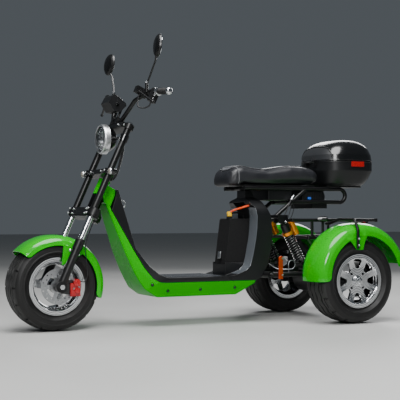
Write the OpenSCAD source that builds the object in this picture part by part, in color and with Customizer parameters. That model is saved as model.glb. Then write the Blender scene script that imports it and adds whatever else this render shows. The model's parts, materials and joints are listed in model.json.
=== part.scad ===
// Three-wheeled electric scooter: step-through frame, raked fork, bench seat and top case.
// +X is forward, +Y is the rider's left, +Z is up. The ground is at z = 0.
// Heights and lengths in the tables are measured from the ground and from the rear axle.

/* [Wheels] */
// Distance from the rear axle to the front axle
wheel_base = 1515; // [1480:5:1560]
// Outer radius of the front tyre
front_tyre_r = 219; // [212:1:222]
// Half of the front tyre's width
front_tyre_half = 96; // [88:1:98]
// Outer radius of the rear tyres
rear_tyre_r = 222; // [212:1:226]
// Half of a rear tyre's width
rear_tyre_half = 99; // [90:1:102]
// Distance from the middle of the vehicle to a rear wheel's middle plane
half_track = 350; // [345:1:370]
// Radius of the rims where the tyre beads sit
bead_r = 127; // [120:1:130]
// Radius of the rims' outer flanges
flange_r = 140; // [136:1:146]
// Half of the rims' width
rim_half = 87.5; // [80:0.5:90]
// Number of windows in a rear rim
rear_windows = 8; // [5:1:9]
// Number of spokes in the front rim
front_spokes = 3; // [3:1:8]
// Outer radius of the brake discs
disc_r = 86; // [75:1:90]

/* [Fork] */
// Angle of the fork and the steering axis from the vertical, in degrees
rake = 24.1; // [22:0.1:26]
// Distance of the steering axis behind the fork legs
stem_setback = 40; // [34:1:44]
// Half of the distance between the fork legs
leg_half = 136; // [134:1:142]
// Radius of the upper fork tubes
leg_r = 17; // [15:0.5:18]
// Radius of the bright inner tubes
inner_tube_r = 16; // [13:0.5:16.5]
// Radius of the sliders
slider_r = 21; // [18:0.5:21]
// Length of a leg from the axle to the underside of the lower crown
lower_crown_z = 366; // [345:1:380]
// Height of the lower crown along the legs
lower_crown_h = 48; // [40:1:72]
// Length of a leg from the axle to the upper crown
upper_crown_z = 592; // [585:1:600]
// Length of a leg from the axle to the top clamp
top_clamp_z = 840; // [820:1:850]

/* [Handlebar] */
// Radius of the handlebar tube
bar_r = 11; // [10:0.5:12.5]
// Radius of the rubber grips
grip_r = 16; // [14:0.5:18]
// Radius of the headlamp's bezel
headlamp_r = 75; // [60:1:85]

/* [Body] */
// Half of the floor's width
floor_half = 150; // [135:1:152]
// Height of the top of the floor
floor_z = 247; // [244:1:252]
// Half of the battery's width
battery_half = 62; // [50:1:70]

/* [Seat] */
// Height of the top of the seat rails
rail_top = 719; // [712:1:722]
// Radius of the seat rails
rail_r = 11; // [9:0.5:13]
// Half of the distance between the seat rails
rail_half = 110; // [100:1:115]

/* [Fenders and rack] */
// Height of a rear fender's crown above its tyre's tread
rear_fender_rise = 61; // [56:1:70]
// Height of the front fender's crown above the tyre's tread
front_fender_rise = 29; // [26:1:34]
// Clear space between a tyre's side and its fender
fender_gap = 6; // [5:0.5:7]
// Thickness of the fenders
fender_t = 3; // [2:0.5:4]
// Height of the top of the luggage rack
rack_top = 546; // [540:1:552]
// Half of the rack's width
rack_half = 190; // [170:1:194]

/* [Top case] */
// Half of the top case's width
case_half = 190; // [170:1:200]
// Rear end of the top case, behind the rear axle
case_rear = 324; // [310:1:330]
// Front end of the top case, ahead of the rear axle
case_front = 10; // [5:1:12]
// Height of the underside of the top case
case_bottom = 727; // [726:1:732]
// Height of the split between the case and its lid
case_split = 864; // [850:1:870]
// Height of the top of the lid
case_top = 984; // [960:1:995]
// Thickness of the walls of the top case
case_wall = 5; // [4:0.5:7]

/* [Hidden] */
$fn = 48;

GREEN = "#12c41a";
BLACK = "#18181a";
SATIN = "#26272b";
RUBBER = "#202022";
CHROME = "#d9dde0";
ALLOY = "#b9bcc0";
ORANGE = "#e07a16";
RED = "#c8141c";
GLASS = "#bcd0d8";

// The origin is midway between the front of the front tyre and the rear end of the top case
mid_x = (wheel_base + front_tyre_r - case_rear) / 2;
front_axle_z = front_tyre_r;
rear_axle_z = rear_tyre_r;
// Clearance of a pin in its bore, and of a piece from its seat
running_gap = 0.05;
seat_gap = 0.3;
axle_r = 10;
stub_r = 15;
stem_r = 14;
stub_proud = 6;
rear_fender_r = rear_tyre_r + rear_fender_rise;
rear_fender_half = rear_tyre_half + fender_gap + fender_t;
front_fender_r = front_tyre_r + front_fender_rise;
front_fender_half = front_tyre_half + fender_gap + fender_t;

// Places a shape that is measured from the rear axle
module from_rear() {
    translate([-mid_x, 0, 0]) children();
}

// Places a shape in the fork's frame: origin at the front axle, z along the legs, x forward of them
module in_fork() {
    translate([wheel_base, 0, front_axle_z]) rotate([0, -rake, 0]) children();
}

module both_sides() {
    children();
    mirror([0, 1, 0]) children();
}

function unit(v) = v / norm(v);
function flip_y(p) = [p[0], -p[1], p[2]];
function reversed(list) = [for (i = [len(list) - 1 : -1 : 0]) list[i]];

// A round bar from a to b
module bar(a, b, r) {
    d = b - a;
    translate(a)
        rotate([0, acos(d[2] / norm(d)), atan2(d[1], d[0])])
            cylinder(r = r, h = norm(d));
}

// The points of a route whose corners are turned on a radius of bend, in a few steps each
corner_steps = 4;
function corner_points(p, q, r, bend) =
    let (
        u = unit(q - p), v = unit(r - q), turn = acos(u * v), axis = unit(cross(u, v)),
        start = q - u * bend * tan(turn / 2), side = cross(axis, u)
    )
    [
        for (k = [0 : corner_steps])
            let (t = turn * k / corner_steps) start + bend * (u * sin(t) + side * (1 - cos(t)))
    ];
function rounded_route(p, bend) = [
    p[0],
    for (i = [1 : len(p) - 2]) each corner_points(p[i - 1], p[i], p[i + 1], bend),
    p[len(p) - 1]
];

// The ring of a tube at point i of its route, turned as little as possible from the ring before it
function carried(side, dir) = unit(side - dir * (side * dir));
function route_dir(route, i) =
    unit(route[min(i + 1, len(route) - 1)] - route[max(i - 1, 0)]);
function first_side(dir) = carried(abs(dir[2]) > 0.9 ? [1, 0, 0] : [0, 0, 1], dir);
function tube_rings(route, r, sides, i = 0, side = undef) =
    i == len(route) ? [] :
    let (
        dir = route_dir(route, i),
        a = side == undef ? first_side(dir) : carried(side, dir),
        b = cross(dir, a)
    )
    concat(
        [[for (k = [0 : sides - 1]) route[i] + r * (a * cos(360 * k / sides) - b * sin(360 * k / sides))]],
        tube_rings(route, r, sides, i + 1, a)
    );

// A tube along the points p, with each corner turned on a radius of bend
module bent_tube(p, r, bend, sides = 12) {
    loft(reversed(tube_rings(rounded_route(p, bend), r, sides)));
}

// A closed solid through rings that all have the same number of points
module loft(rings) {
    n = len(rings[0]);
    m = len(rings);
    points = [for (ring = rings) each ring];
    sides = [
        for (j = [0 : m - 2], i = [0 : n - 1])
            let (k = (i + 1) % n)
                each [[j * n + i, (j + 1) * n + i, (j + 1) * n + k], [j * n + i, (j + 1) * n + k, j * n + k]]
    ];
    first = [for (i = [0 : n - 1]) i];
    last = [for (i = [n - 1 : -1 : 0]) (m - 1) * n + i];
    polyhedron(points, concat([first], sides, [last]));
}

// A ring of n points of a rounded rectangle in a level plane
function level_ring(x0, x1, half, power, z, n) = [
    for (i = [0 : n - 1])
        let (a = -360 * i / n, c = cos(a), s = sin(a))
            [
                (x0 + x1) / 2 + (x1 - x0) / 2 * sign(c) * pow(abs(c), 2 / power),
                half * sign(s) * pow(abs(s), 2 / power),
                z
            ]
];

// A ring of n points of a rounded rectangle across the vehicle
function cross_ring(x, half, z0, z1, power, n) = [
    for (i = [0 : n - 1])
        let (a = 360 * i / n, c = cos(a), s = sin(a))
            [
                x,
                half * sign(c) * pow(abs(c), 2 / power),
                (z0 + z1) / 2 + (z1 - z0) / 2 * sign(s) * pow(abs(s), 2 / power)
            ]
];

// Tyres and rims, turned about the y axis with the wheel's middle plane at y = 0
tread_grooves = [-0.5, 0, 0.5];
groove_half = 4;
groove_depth = 6;

module tyre(outer_r, half) {
    shoulder = 0.80 * half;
    crown = 7;
    belly_r = (outer_r + bead_r) / 2;
    bead_half = rim_half - 8;
    profile = [
        [bead_r, -bead_half],
        [bead_r + 14, -bead_half],
        [bead_r + 22, -bead_half - 4],
        [belly_r - 12, -half + 1.5],
        [belly_r + 6, -half],
        [belly_r + 22, -half + 3],
        [outer_r - crown - 6, -shoulder - 7],
        [outer_r - crown, -shoulder],
        for (g = tread_grooves)
            let (y = g * shoulder, r = outer_r - crown * pow(abs(g), 2))
                each [
                    [r, y - groove_half], [r - groove_depth, y - groove_half + 1],
                    [r - groove_depth, y + groove_half - 1], [r, y + groove_half]
                ],
        [outer_r - crown, shoulder],
        [outer_r - crown - 6, shoulder + 7],
        [belly_r + 22, half - 3],
        [belly_r + 6, half],
        [belly_r - 12, half - 1.5],
        [bead_r + 22, bead_half + 4],
        [bead_r + 14, bead_half],
        [bead_r, bead_half]
    ];
    rotate([-90, 0, 0]) rotate_extrude($fn = 96) polygon(profile);
}

rim_wall = 7;
well_r = bead_r - 17;

module rim_barrel() {
    seat_half = rim_half - 8;
    rotate([-90, 0, 0])
        rotate_extrude($fn = 96)
            polygon([
                [bead_r - rim_wall, -rim_half], [flange_r, -rim_half], [flange_r, -rim_half + 4],
                [bead_r + 4, -seat_half], [bead_r, -seat_half], [bead_r, -seat_half + 18],
                [well_r, -seat_half + 32], [well_r, seat_half - 32], [bead_r, seat_half - 18],
                [bead_r, seat_half], [bead_r + 4, seat_half], [flange_r, rim_half - 4],
                [flange_r, rim_half], [bead_r - rim_wall, rim_half],
                [bead_r - rim_wall, seat_half - 20], [well_r - rim_wall, seat_half - 36],
                [well_r - rim_wall, -seat_half + 36], [bead_r - rim_wall, -seat_half + 20]
            ]);
}

// A window between two spokes: a tapered slot with round ends, along x
module rim_window(r0, r1, w0, w1, depth) {
    rotate([-90, 0, 0])
        linear_extrude(height = depth, center = true) {
            translate([r0 + w0, 0]) circle(r = w0);
            polygon([
                [r0 + w0, -w0], [r1 - 10, -w1], [r1, -w1 + 10], [r1, w1 - 10], [r1 - 10, w1], [r0 + w0, w0]
            ]);
        }
}

rear_face = rim_half - 34;
rear_hub_r = 44;
lug_circle = 50;
lug_hole_r = 7;
lugs = 4;

// The rear rim, with its spoked face towards +y
module rear_rim_shape() {
    difference() {
        union() {
            rim_barrel();
            rotate([-90, 0, 0])
                rotate_extrude($fn = 96)
                    polygon([
                        [0, rear_face], [bead_r - rim_wall + 1, rear_face + 6],
                        [bead_r - rim_wall + 1, rear_face + 22], [72, rear_face + 16], [0, rear_face + 16]
                    ]);
            rotate([90, 0, 0]) translate([0, 0, -rear_face - 1]) cylinder(r = rear_hub_r, h = rear_face + 50);
            rotate([-90, 0, 0]) translate([0, 0, rear_face + 15]) cylinder(r1 = 27, r2 = 22, h = 16);
        }
        for (i = [0 : rear_windows - 1])
            rotate([0, i * 360 / rear_windows, 0])
                translate([0, rear_face + 10, 0]) rim_window(64, bead_r - 13, 15, 27, 60);
        for (i = [0 : lugs - 1])
            rotate([0, (i + 0.5) * 360 / lugs, 0])
                translate([lug_circle, rear_face + 16, 0]) rotate([90, 0, 0])
                    cylinder(r = lug_hole_r, h = 12);
        rotate([90, 0, 0]) translate([0, 0, -rear_face - stub_proud - 2])
            cylinder(r = stub_r + running_gap, h = rear_face + 70);
    }
}

module rear_tyre_left() {
    color(RUBBER) from_rear() translate([0, half_track, rear_axle_z]) tyre(rear_tyre_r, rear_tyre_half);
}

module rear_rim_left() {
    color(ALLOY) from_rear() translate([0, half_track, rear_axle_z]) rear_rim_shape();
}

module rear_tyre_right() {
    mirror([0, 1, 0]) rear_tyre_left();
}

module rear_rim_right() {
    mirror([0, 1, 0]) rear_rim_left();
}

module front_tyre() {
    color(RUBBER) from_rear() translate([wheel_base, 0, front_axle_z]) tyre(front_tyre_r, front_tyre_half);
}

front_hub_r = 34;
// Space between the brake disc's middle and the slider, and the disc's step outside the hub
disc_space = 13;
hub_step = 14;
disc_y = leg_half - slider_r - disc_space;
front_hub_half = disc_y - hub_step;
spoke_w = 40;
spoke_t = 22;
spoke_turn = -8;

module front_rim() {
    color(ALLOY) from_rear() translate([wheel_base, 0, front_axle_z]) difference() {
        union() {
            rim_barrel();
            rotate([90, 0, 0]) cylinder(r = front_hub_r, h = 2 * front_hub_half, center = true);
            for (i = [0 : front_spokes - 1])
                rotate([0, spoke_turn + i * 360 / front_spokes, 0])
                    translate([0, 38 - spoke_t / 2, -spoke_w / 2]) cube([well_r - 3, spoke_t, spoke_w]);
        }
        rotate([90, 0, 0]) cylinder(r = axle_r + running_gap, h = 4 * front_hub_half, center = true);
    }
}

disc_t = 4;
disc_inner_r = 58;
disc_band = disc_r - disc_inner_r;
disc_hole_rows = [0.28, 0.68];
disc_holes = 12;
disc_hole_r = 4;
disc_arms = 5;

module front_disc() {
    color(CHROME) from_rear() translate([wheel_base, disc_y + disc_t / 2, front_axle_z]) rotate([90, 0, 0])
        difference() {
            union() {
                difference() {
                    cylinder(r = disc_r, h = disc_t, $fn = 72);
                    translate([0, 0, -1]) cylinder(r = disc_inner_r, h = disc_t + 2);
                }
                cylinder(r = front_hub_r, h = disc_y + disc_t / 2 - front_hub_half);
                for (i = [0 : disc_arms - 1])
                    rotate([0, 0, i * 360 / disc_arms])
                        translate([front_hub_r - 6, -9, 0])
                            cube([disc_inner_r - front_hub_r + 8, 18, disc_t]);
            }
            for (i = [0 : disc_holes - 1], row = [0, 1])
                rotate([0, 0, (i + row / 2) * 360 / disc_holes])
                    translate([disc_inner_r + disc_hole_rows[row] * disc_band, 0, -1])
                        cylinder(r = disc_hole_r, h = disc_t + 2, $fn = 20);
            translate([0, 0, -1]) cylinder(r = axle_r + 1, h = disc_y);
        }
}

// Front fork, in the fork's frame
lower_crown_end_r = 34;
lower_crown_back = 8;
lower_stem_r = 50;
lower_crown_round = 9;
lower_crown_step = 5;
upper_crown_end_r = 27;
upper_crown_h = 26;
upper_stem_r = 34;
top_clamp_end_r = 26;
top_clamp_h = 26;
leg_top_z = top_clamp_z + top_clamp_h + 4;
slider_top_z = 240;
slider_bottom_z = -6;
slider_collar_h = 46;
slider_collar_r = slider_r + 3;
lug_r = 27;
lug_len = 2 * slider_r + 5;

// A point measured level from the front axle, given in the fork's frame
function to_fork(p) =
    [p[0] * cos(rake) + p[2] * sin(rake), p[1], -p[0] * sin(rake) + p[2] * cos(rake)];

// Places a shape above the top clamp, in the fork's frame
module on_bars() {
    from_rear() in_fork() translate([0, 0, top_clamp_z]) children();
}

// Outline of a crown: two ends round the legs joined to the stem behind them
module crown_outline(end_r, stem_end_r) {
    for (s = [-1, 1]) translate([0, s * leg_half]) circle(r = end_r);
    translate([-end_r, -leg_half]) square([2 * end_r - 6, 2 * leg_half]);
    translate([-stem_setback, 0]) circle(r = stem_end_r);
}

module leg_bores(z, h) {
    for (s = [-1, 1])
        translate([0, s * leg_half, z - 1]) cylinder(r = leg_r + running_gap, h = h + 2);
}

module fork_crowns() {
    color(BLACK) from_rear() in_fork() {
        difference() {
            union() {
                translate([-lower_crown_back, 0, lower_crown_z + lower_crown_round])
                    linear_extrude(height = lower_crown_h - 2 * lower_crown_round)
                        crown_outline(lower_crown_end_r, lower_stem_r);
                translate([-lower_crown_back, 0, lower_crown_z]) linear_extrude(height = lower_crown_h)
                    crown_outline(lower_crown_end_r - lower_crown_step, lower_stem_r - lower_crown_step);
                translate([-stem_setback, 0, lower_crown_z])
                    cylinder(r = stem_r, h = upper_crown_z - lower_crown_z);
            }
            leg_bores(lower_crown_z, lower_crown_h);
        }
        difference() {
            translate([0, 0, upper_crown_z]) linear_extrude(height = upper_crown_h)
                crown_outline(upper_crown_end_r, upper_stem_r);
            leg_bores(upper_crown_z, upper_crown_h);
        }
        difference() {
            union() {
                translate([0, 0, top_clamp_z]) linear_extrude(height = top_clamp_h) {
                    for (s = [-1, 1]) translate([0, s * leg_half]) circle(r = top_clamp_end_r);
                    translate([-20, -leg_half]) square([58, 2 * leg_half]);
                }
                for (s = [-1, 1])
                    translate([bar_x - riser_reach, s * riser_y - riser_half, top_clamp_z + top_clamp_h - 1])
                        cube([2 * riser_reach, 2 * riser_half, riser_top - top_clamp_h + 1]);
            }
            leg_bores(top_clamp_z, top_clamp_h);
            translate([bar_x, 0, top_clamp_z + bar_z]) rotate([90, 0, 0])
                cylinder(r = bar_r + running_gap, h = 200, center = true);
        }
    }
}

// The chrome tube stops where the painted tube begins, inside the lower crown
tube_joint_z = lower_crown_z + lower_crown_h / 2;

module fork_upper_tubes() {
    color(BLACK) from_rear() in_fork() both_sides()
        translate([0, leg_half, tube_joint_z]) cylinder(r = leg_r, h = leg_top_z - tube_joint_z);
}

module fork_inner_tubes() {
    color(CHROME) from_rear() in_fork() both_sides()
        translate([0, leg_half, slider_top_z]) cylinder(r = inner_tube_r, h = tube_joint_z - slider_top_z);
}

module fork_sliders() {
    color(BLACK) from_rear() in_fork() difference() {
        both_sides() translate([0, leg_half, 0]) {
            translate([0, 0, slider_bottom_z])
                cylinder(r = slider_r, h = slider_top_z - slider_bottom_z - slider_collar_h / 2);
            translate([0, 0, slider_top_z - slider_collar_h])
                cylinder(r = slider_collar_r, h = slider_collar_h);
            rotate([90, 0, 0]) cylinder(r = lug_r, h = lug_len, center = true);
        }
        rotate([90, 0, 0]) cylinder(r = axle_r + running_gap, h = 3 * leg_half, center = true);
    }
}

module front_axle() {
    nut_y = leg_half + lug_len / 2 + seat_gap;
    spacer_y = front_hub_half + 1;
    color(CHROME) from_rear() translate([wheel_base, 0, front_axle_z]) rotate([90, 0, 0]) {
        cylinder(r = axle_r, h = 2 * nut_y + 8, center = true);
        for (s = [0, 1]) mirror([0, 0, s]) translate([0, 0, nut_y]) cylinder(r = 13, h = 9, $fn = 6);
        translate([0, 0, spacer_y])
            cylinder(r = axle_r + 7, h = leg_half - lug_len / 2 - seat_gap - spacer_y);
    }
}

// Handlebar, in the fork's frame with heights from the underside of the top clamp
bar_x = 22;
bar_z = 41;
bar_route = [[bar_x, 55, bar_z], [25, 140, 148], [2, 236, 198], [-39, 381, 203]];
bar_route_all = concat([for (p = reversed(bar_route)) flip_y(p)], bar_route);
bar_bend = 30;
bar_mid_dir = unit(bar_route[2] - bar_route[1]);
bar_end = bar_route[3];
bar_end_dir = unit(bar_route[3] - bar_route[2]);
riser_y = 27;
riser_half = 13;
riser_reach = 20;
riser_top = bar_z + 19;
clamp_r = bar_r + 8;
clamp_half = 13;

module handlebar() {
    color(BLACK) on_bars() bent_tube(bar_route_all, bar_r, bar_bend, 16);
}

// A sleeve on the bar's end stretch, between two distances back from its end
module on_grip(from_end, to_end, r) {
    difference() {
        bar(bar_end - bar_end_dir * to_end, bar_end - bar_end_dir * from_end, r);
        bar(bar_end - bar_end_dir * 200, bar_end + bar_end_dir * 0.5, bar_r + running_gap);
    }
}

grip_len = 88;
grip_collar = 10;

module grips() {
    color(RUBBER) on_bars() both_sides() {
        on_grip(0, grip_len, grip_r);
        on_grip(-2, 18, grip_r + 1.5);
        on_grip(grip_len - grip_collar, grip_len + grip_collar, grip_r + 6);
    }
}

// The brake lever's perch clamps the bar's middle stretch and carries the mirror's boss
perch = bar_route[1] + bar_mid_dir * 76;
plumb = [sin(rake), 0, cos(rake)];
boss_r = 8;
boss_foot = perch + [4, 16, 8];
boss_top = boss_foot + 34 * plumb;
lever_r = 5.5;
lever_tip = [8, 342, 126];

module brake_levers() {
    color(BLACK) on_bars() both_sides() {
        difference() {
            union() {
                bar(perch - bar_mid_dir * clamp_half, perch + bar_mid_dir * clamp_half, clamp_r);
                translate(perch + [8, -17, -14]) cube([50, 34, 32]);
                bar(boss_foot, boss_top, boss_r);
            }
            bar(bar_route[1], bar_route[2], bar_r + seat_gap);
        }
        bar(perch + [44, 6, -4], lever_tip, lever_r);
        translate(lever_tip) sphere(r = lever_r + 2.5, $fn = 32);
    }
}

module switch_pods() {
    centre = bar_end - bar_end_dir * (grip_len + grip_collar + seat_gap + clamp_half);
    color(BLACK) on_bars() both_sides() difference() {
        union() {
            bar(centre - bar_end_dir * clamp_half, centre + bar_end_dir * clamp_half, clamp_r);
            translate(centre) rotate([0, 0, atan2(bar_end_dir[1], bar_end_dir[0]) - 90])
                translate([-20, 1 - clamp_half, -58]) cube([38, 2 * clamp_half - 2, 52]);
        }
        bar(bar_route[2], bar_end, bar_r + seat_gap);
    }
}

// Mirrors: a bent stem and an oval shell that faces back
mirror_nut_h = 10;
mirror_foot = boss_top + plumb * seat_gap;
mirror_route = [mirror_foot + plumb * 4, [36, 240, 258], [58, 292, 331], [79, 316, 360]];
mirror_centre = [82, 326, 393];
mirror_half = [50, 59];
mirror_tilt = [10, -6, -8];

// Columns: distance forward of the glass, share of the full outline
mirror_dome = [[0, 0.97], [3, 1], [10, 0.95], [17, 0.8], [22, 0.56], [24, 0.26]];

function mirror_ring(row) = [
    for (i = [0 : 23]) [row[0], mirror_half[0] * row[1] * cos(15 * i), mirror_half[1] * row[1] * sin(15 * i)]
];

module in_mirror() {
    on_bars() both_sides() translate(mirror_centre) rotate([0, rake, 0]) rotate(mirror_tilt) children();
}

module mirrors() {
    color(BLACK) {
        on_bars() both_sides() {
            bent_tube(mirror_route, 4.5, 24, 10);
            bar(mirror_foot, mirror_foot + plumb * mirror_nut_h, boss_r);
        }
        in_mirror() loft([for (row = mirror_dome) mirror_ring(row)]);
    }
}

module mirror_glass() {
    color(GLASS) in_mirror() loft([mirror_ring([-2, 0.92]), mirror_ring([-seat_gap, 0.92])]);
}

// Headlamp between the legs, facing forward and level
headlamp_at = [64, 0, -74];
bowl_depth = headlamp_r + 3;
bezel_depth = 26;
ear_ring_h = 34;
ear_ring_low = -66;

module along_headlamp() {
    on_bars() translate(headlamp_at) rotate([0, rake + 90, 0]) children();
}

module headlamp_shell() {
    color(BLACK) {
        along_headlamp() rotate_extrude($fn = 64)
            polygon([
                [0, -bowl_depth], [0.35 * headlamp_r, -bowl_depth + 2], [0.64 * headlamp_r, -bowl_depth + 14],
                [0.83 * headlamp_r, -bowl_depth + 36], [headlamp_r - 6, -24], [headlamp_r - 4, -8],
                [headlamp_r - 10, -8], [headlamp_r - 12, -22], [0.75 * headlamp_r, -bowl_depth + 40],
                [0.53 * headlamp_r, -bowl_depth + 20], [0, -bowl_depth + 10]
            ]);
        on_bars() both_sides() {
            bar(
                [24, 0.76 * headlamp_r, headlamp_at[2] + 20],
                [6, leg_half - leg_r - 3.5, headlamp_at[2] + 24], 7
            );
            difference() {
                translate([0, leg_half, ear_ring_low]) cylinder(r = leg_r + 5, h = ear_ring_h);
                translate([0, leg_half, ear_ring_low - 1])
                    cylinder(r = leg_r + running_gap, h = ear_ring_h + 2);
            }
        }
    }
}

module headlamp_bezel() {
    color(CHROME) along_headlamp() rotate_extrude($fn = 64)
        polygon([
            [headlamp_r - 9, -8 + seat_gap], [headlamp_r - 4 + seat_gap, -8 + seat_gap],
            [headlamp_r - 4 + seat_gap, -bezel_depth], [headlamp_r - 0.5, -bezel_depth], [headlamp_r, -2],
            [headlamp_r - 2, 4], [headlamp_r - 7, 7], [headlamp_r - 11, 5], [headlamp_r - 9, 0]
        ]);
}

module headlamp_lens() {
    edge = headlamp_r - 9 - seat_gap;
    color(GLASS) along_headlamp() rotate_extrude($fn = 64)
        polygon([
            [0, 9], [0.37 * headlamp_r, 8], [0.64 * headlamp_r, 5], [edge - 2, -0.5], [edge, -4.5],
            [0.64 * headlamp_r, 1], [0.37 * headlamp_r, 4], [0, 5]
        ]);
}

// Instrument pod above the bar, its display tilted towards the rider
instrument_half = 58;
instrument_side = [[120, 102], [117, 139], [107, 152], [37, 137], [28, 126], [46, 83], [77, 73]];
post_r = 6;
post_x = bar_x + riser_reach - post_r;
display_dir = unit(instrument_side[3] - instrument_side[2]);
display_up = [display_dir[1], -display_dir[0]];
display_t = 2.5;

module across(half) {
    rotate([90, 0, 0]) linear_extrude(height = 2 * half, center = true) children();
}

module instrument() {
    color(BLACK) on_bars() {
        across(instrument_half) polygon(instrument_side);
        both_sides() translate([post_x, riser_y, riser_top + seat_gap])
            cylinder(r = post_r, h = instrument_side[4][1] - riser_top);
    }
}

module instrument_glass() {
    a = instrument_side[2] + display_dir * 8 + display_up * seat_gap;
    b = instrument_side[3] - display_dir * 8 + display_up * seat_gap;
    color("#101318") on_bars() across(instrument_half - 8)
        polygon([a, a + display_up * display_t, b + display_up * display_t, b]);
}

// Front indicators on the ends of the upper crown
module front_indicators() {
    z = upper_crown_z + upper_crown_h / 2;
    body = [8, leg_half + 60, z];
    color(BLACK) from_rear() in_fork() both_sides() {
        translate(body) rotate([0, rake + 90, 0]) rotate_extrude()
            polygon([[0, -26], [9, -22], [15, -8], [17, 8], [15, 14], [0, 18]]);
        bar([0, leg_half + upper_crown_end_r + seat_gap, z], body - [8, 8, 0], 5);
    }
}

// Fenders: a boxy section turned about the wheel, with a pointed tab on each side
section_steps = 14;
section_power = 3;
tab_proud = 0.7;

function section_points(crown_r, half, depth) = [
    for (i = [0 : section_steps])
        let (a = 180 * i / section_steps, c = cos(a), s = sin(a))
            [
                crown_r - depth + depth * pow(s, 2 / section_power),
                half * sign(c) * pow(abs(c), 2 / section_power)
            ]
];

// Turns a fender's section from one angle to another, from +x up and over towards -x
module fender_arch(crown_r, half, depth, from, to, from_round, to_round) {
    outer = section_points(crown_r, half, depth);
    inner = section_points(crown_r - fender_t, half - fender_t, depth - fender_t);
    difference() {
        rotate([90, 0, 0]) rotate_extrude(angle = to - from, start = from, $fn = 96)
            polygon(concat(outer, reversed(inner)));
        corner_cut(crown_r - depth, from, 1, from_round);
        corner_cut(crown_r - depth, to, -1, to_round);
    }
}

// Rounds the lower corner of a fender's end on a radius r. The fender lies on the side of sense
cut_steps = 6;
module corner_cut(edge_r, angle, sense, r) {
    reach = edge_r + r - 1;
    turn = asin((r - 1) / reach);
    middle = angle + sense * turn;
    centre = polar(reach, middle);
    across(2 * (rear_fender_half + front_fender_half)) polygon(concat(
        [for (k = [0 : cut_steps]) centre + polar(r, middle + sense * (-90 - 90 * k / cut_steps))],
        [polar(edge_r - 10, middle), polar(edge_r - 10, angle - sense * 4), polar(reach, angle - sense * 4)]
    ));
}

// A flat tab on the outside of a fender, through points seen from its side
module fender_tab(half, points) {
    translate([0, half + tab_proud, 0]) rotate([90, 0, 0]) linear_extrude(height = fender_t) polygon(points);
}

function polar(r, a) = [r * cos(a), r * sin(a)];

front_fender_depth = 51;
front_fender_from = 43;
front_fender_to = 196;
front_fender_rounds = [26, 30];
// Columns: distance of the tab's edge below the fender's edge, angle
front_tab_tip = [[38, 124], [55, 118.8], [78, 110], [98, 103], [98, 99]];
fender_boss_z = [128, 178];

module front_fender() {
    tab_r = 1.03 * (front_fender_r - front_fender_depth);
    boss_len = leg_half - slider_r - seat_gap - front_fender_half;
    color(GREEN) from_rear() {
        translate([wheel_base, 0, front_axle_z]) {
            fender_arch(
                front_fender_r, front_fender_half, front_fender_depth, front_fender_from, front_fender_to,
                front_fender_rounds[0], front_fender_rounds[1]
            );
            both_sides()
                fender_tab(
                    front_fender_half,
                    concat(
                        [polar(tab_r, 97), polar(tab_r, 129)],
                        [for (row = front_tab_tip) polar(tab_r - row[0], row[1])]
                    )
                );
        }
        in_fork() both_sides() for (z = fender_boss_z)
            translate([0, front_fender_half, z]) rotate([-90, 0, 0]) cylinder(r = boss_r, h = boss_len);
    }
}

// Brake caliper over the back of the disc, on a plate against the slider
caliper_at = [6 - disc_r, disc_y + 6, -8];
caliper_eye = [-8, 2, 26];
caliper_eye_r = 17;
disc_gap = 5;
caliper_plate_t = 6;

module front_caliper() {
    plate_y = leg_half - slider_r - seat_gap;
    from_rear() translate([wheel_base, 0, front_axle_z]) {
        color(RED) translate(caliper_at) difference() {
            union() {
                translate([-24, -22, -40]) cube([50, 40, 64]);
                translate(caliper_eye) rotate([90, 0, 0]) cylinder(r = caliper_eye_r, h = 32, center = true);
                translate([8, 18, -18]) rotate([-90, 0, 0]) cylinder(r = 17, h = 5);
            }
            translate([-11, -6 - disc_t / 2 - disc_gap, -60]) cube([60, disc_t + 2 * disc_gap, 120]);
        }
        color(BLACK) translate([0, plate_y, 0]) rotate([90, 0, 0])
            linear_extrude(height = caliper_plate_t) difference() {
                polygon([[-10, 34], [caliper_at[0] + 10, 30], [caliper_at[0] + 10, -42], [-12, -34]]);
                circle(r = lug_r + 3);
            }
    }
}

// Cables and hoses with a fixed route
hose_end = caliper_at + caliper_eye + [-caliper_eye_r - seat_gap, 3, 0];
hose_route = [
    [-32, leg_half - 24, lower_crown_z - seat_gap], [-34, leg_half - 20, 238],
    [-60, leg_half - 15, 191], to_fork(hose_end + [-38, 6, 36]), to_fork(hose_end + [-34, 0, 0]),
    to_fork(hose_end)
];

module brake_hose() {
    color(BLACK) from_rear() in_fork() bent_tube(hose_route, 2.6, 20);
}

loom_x = -stem_setback - 24;
loom_route = [
    [-14, 76, top_clamp_z - seat_gap], [-14, 76, top_clamp_z - 36], [-42, 76, upper_crown_z + 154],
    [loom_x + 8, 68, upper_crown_z + 88], [loom_x, 60, upper_crown_z + 30],
    [loom_x + 8, 54, upper_crown_z + 4]
];

module control_loom() {
    color(BLACK) from_rear() in_fork() bent_tube(loom_route, 8, 20);
}

// Frame: a folded leg shield and belly, with the head tube at its top
belly_top = floor_z - 24;
floor_rear = 600;
// Columns: front x, front z, front half width, back x, back z, back half width
shell_table = [
    [wheel_base - 262, 618, 52, wheel_base - 284, 606, 57],
    [wheel_base - 271, 590, 57, wheel_base - 289, 587, 61],
    [wheel_base - 346, 386, 88, wheel_base - 392, 391, 96],
    [wheel_base - 393, 282, 97, wheel_base - 443, 300, floor_half - 36],
    [wheel_base - 421, 232, 104, wheel_base - 484, belly_top + 21, floor_half - 14],
    [wheel_base - 449, 190, 114, wheel_base - 516, belly_top + 3, floor_half - 3],
    [wheel_base - 509, 150, 126, wheel_base - 548, belly_top, floor_half],
    [560, 150, 126, 560, belly_top, floor_half],
    [450, 208, 136, 450, belly_top, floor_half]
];

function shell_ring(row) = [
    [row[0], row[2], row[1]], [row[3], row[5], row[4]], [row[3], -row[5], row[4]], [row[0], -row[2], row[1]]
];

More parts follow.
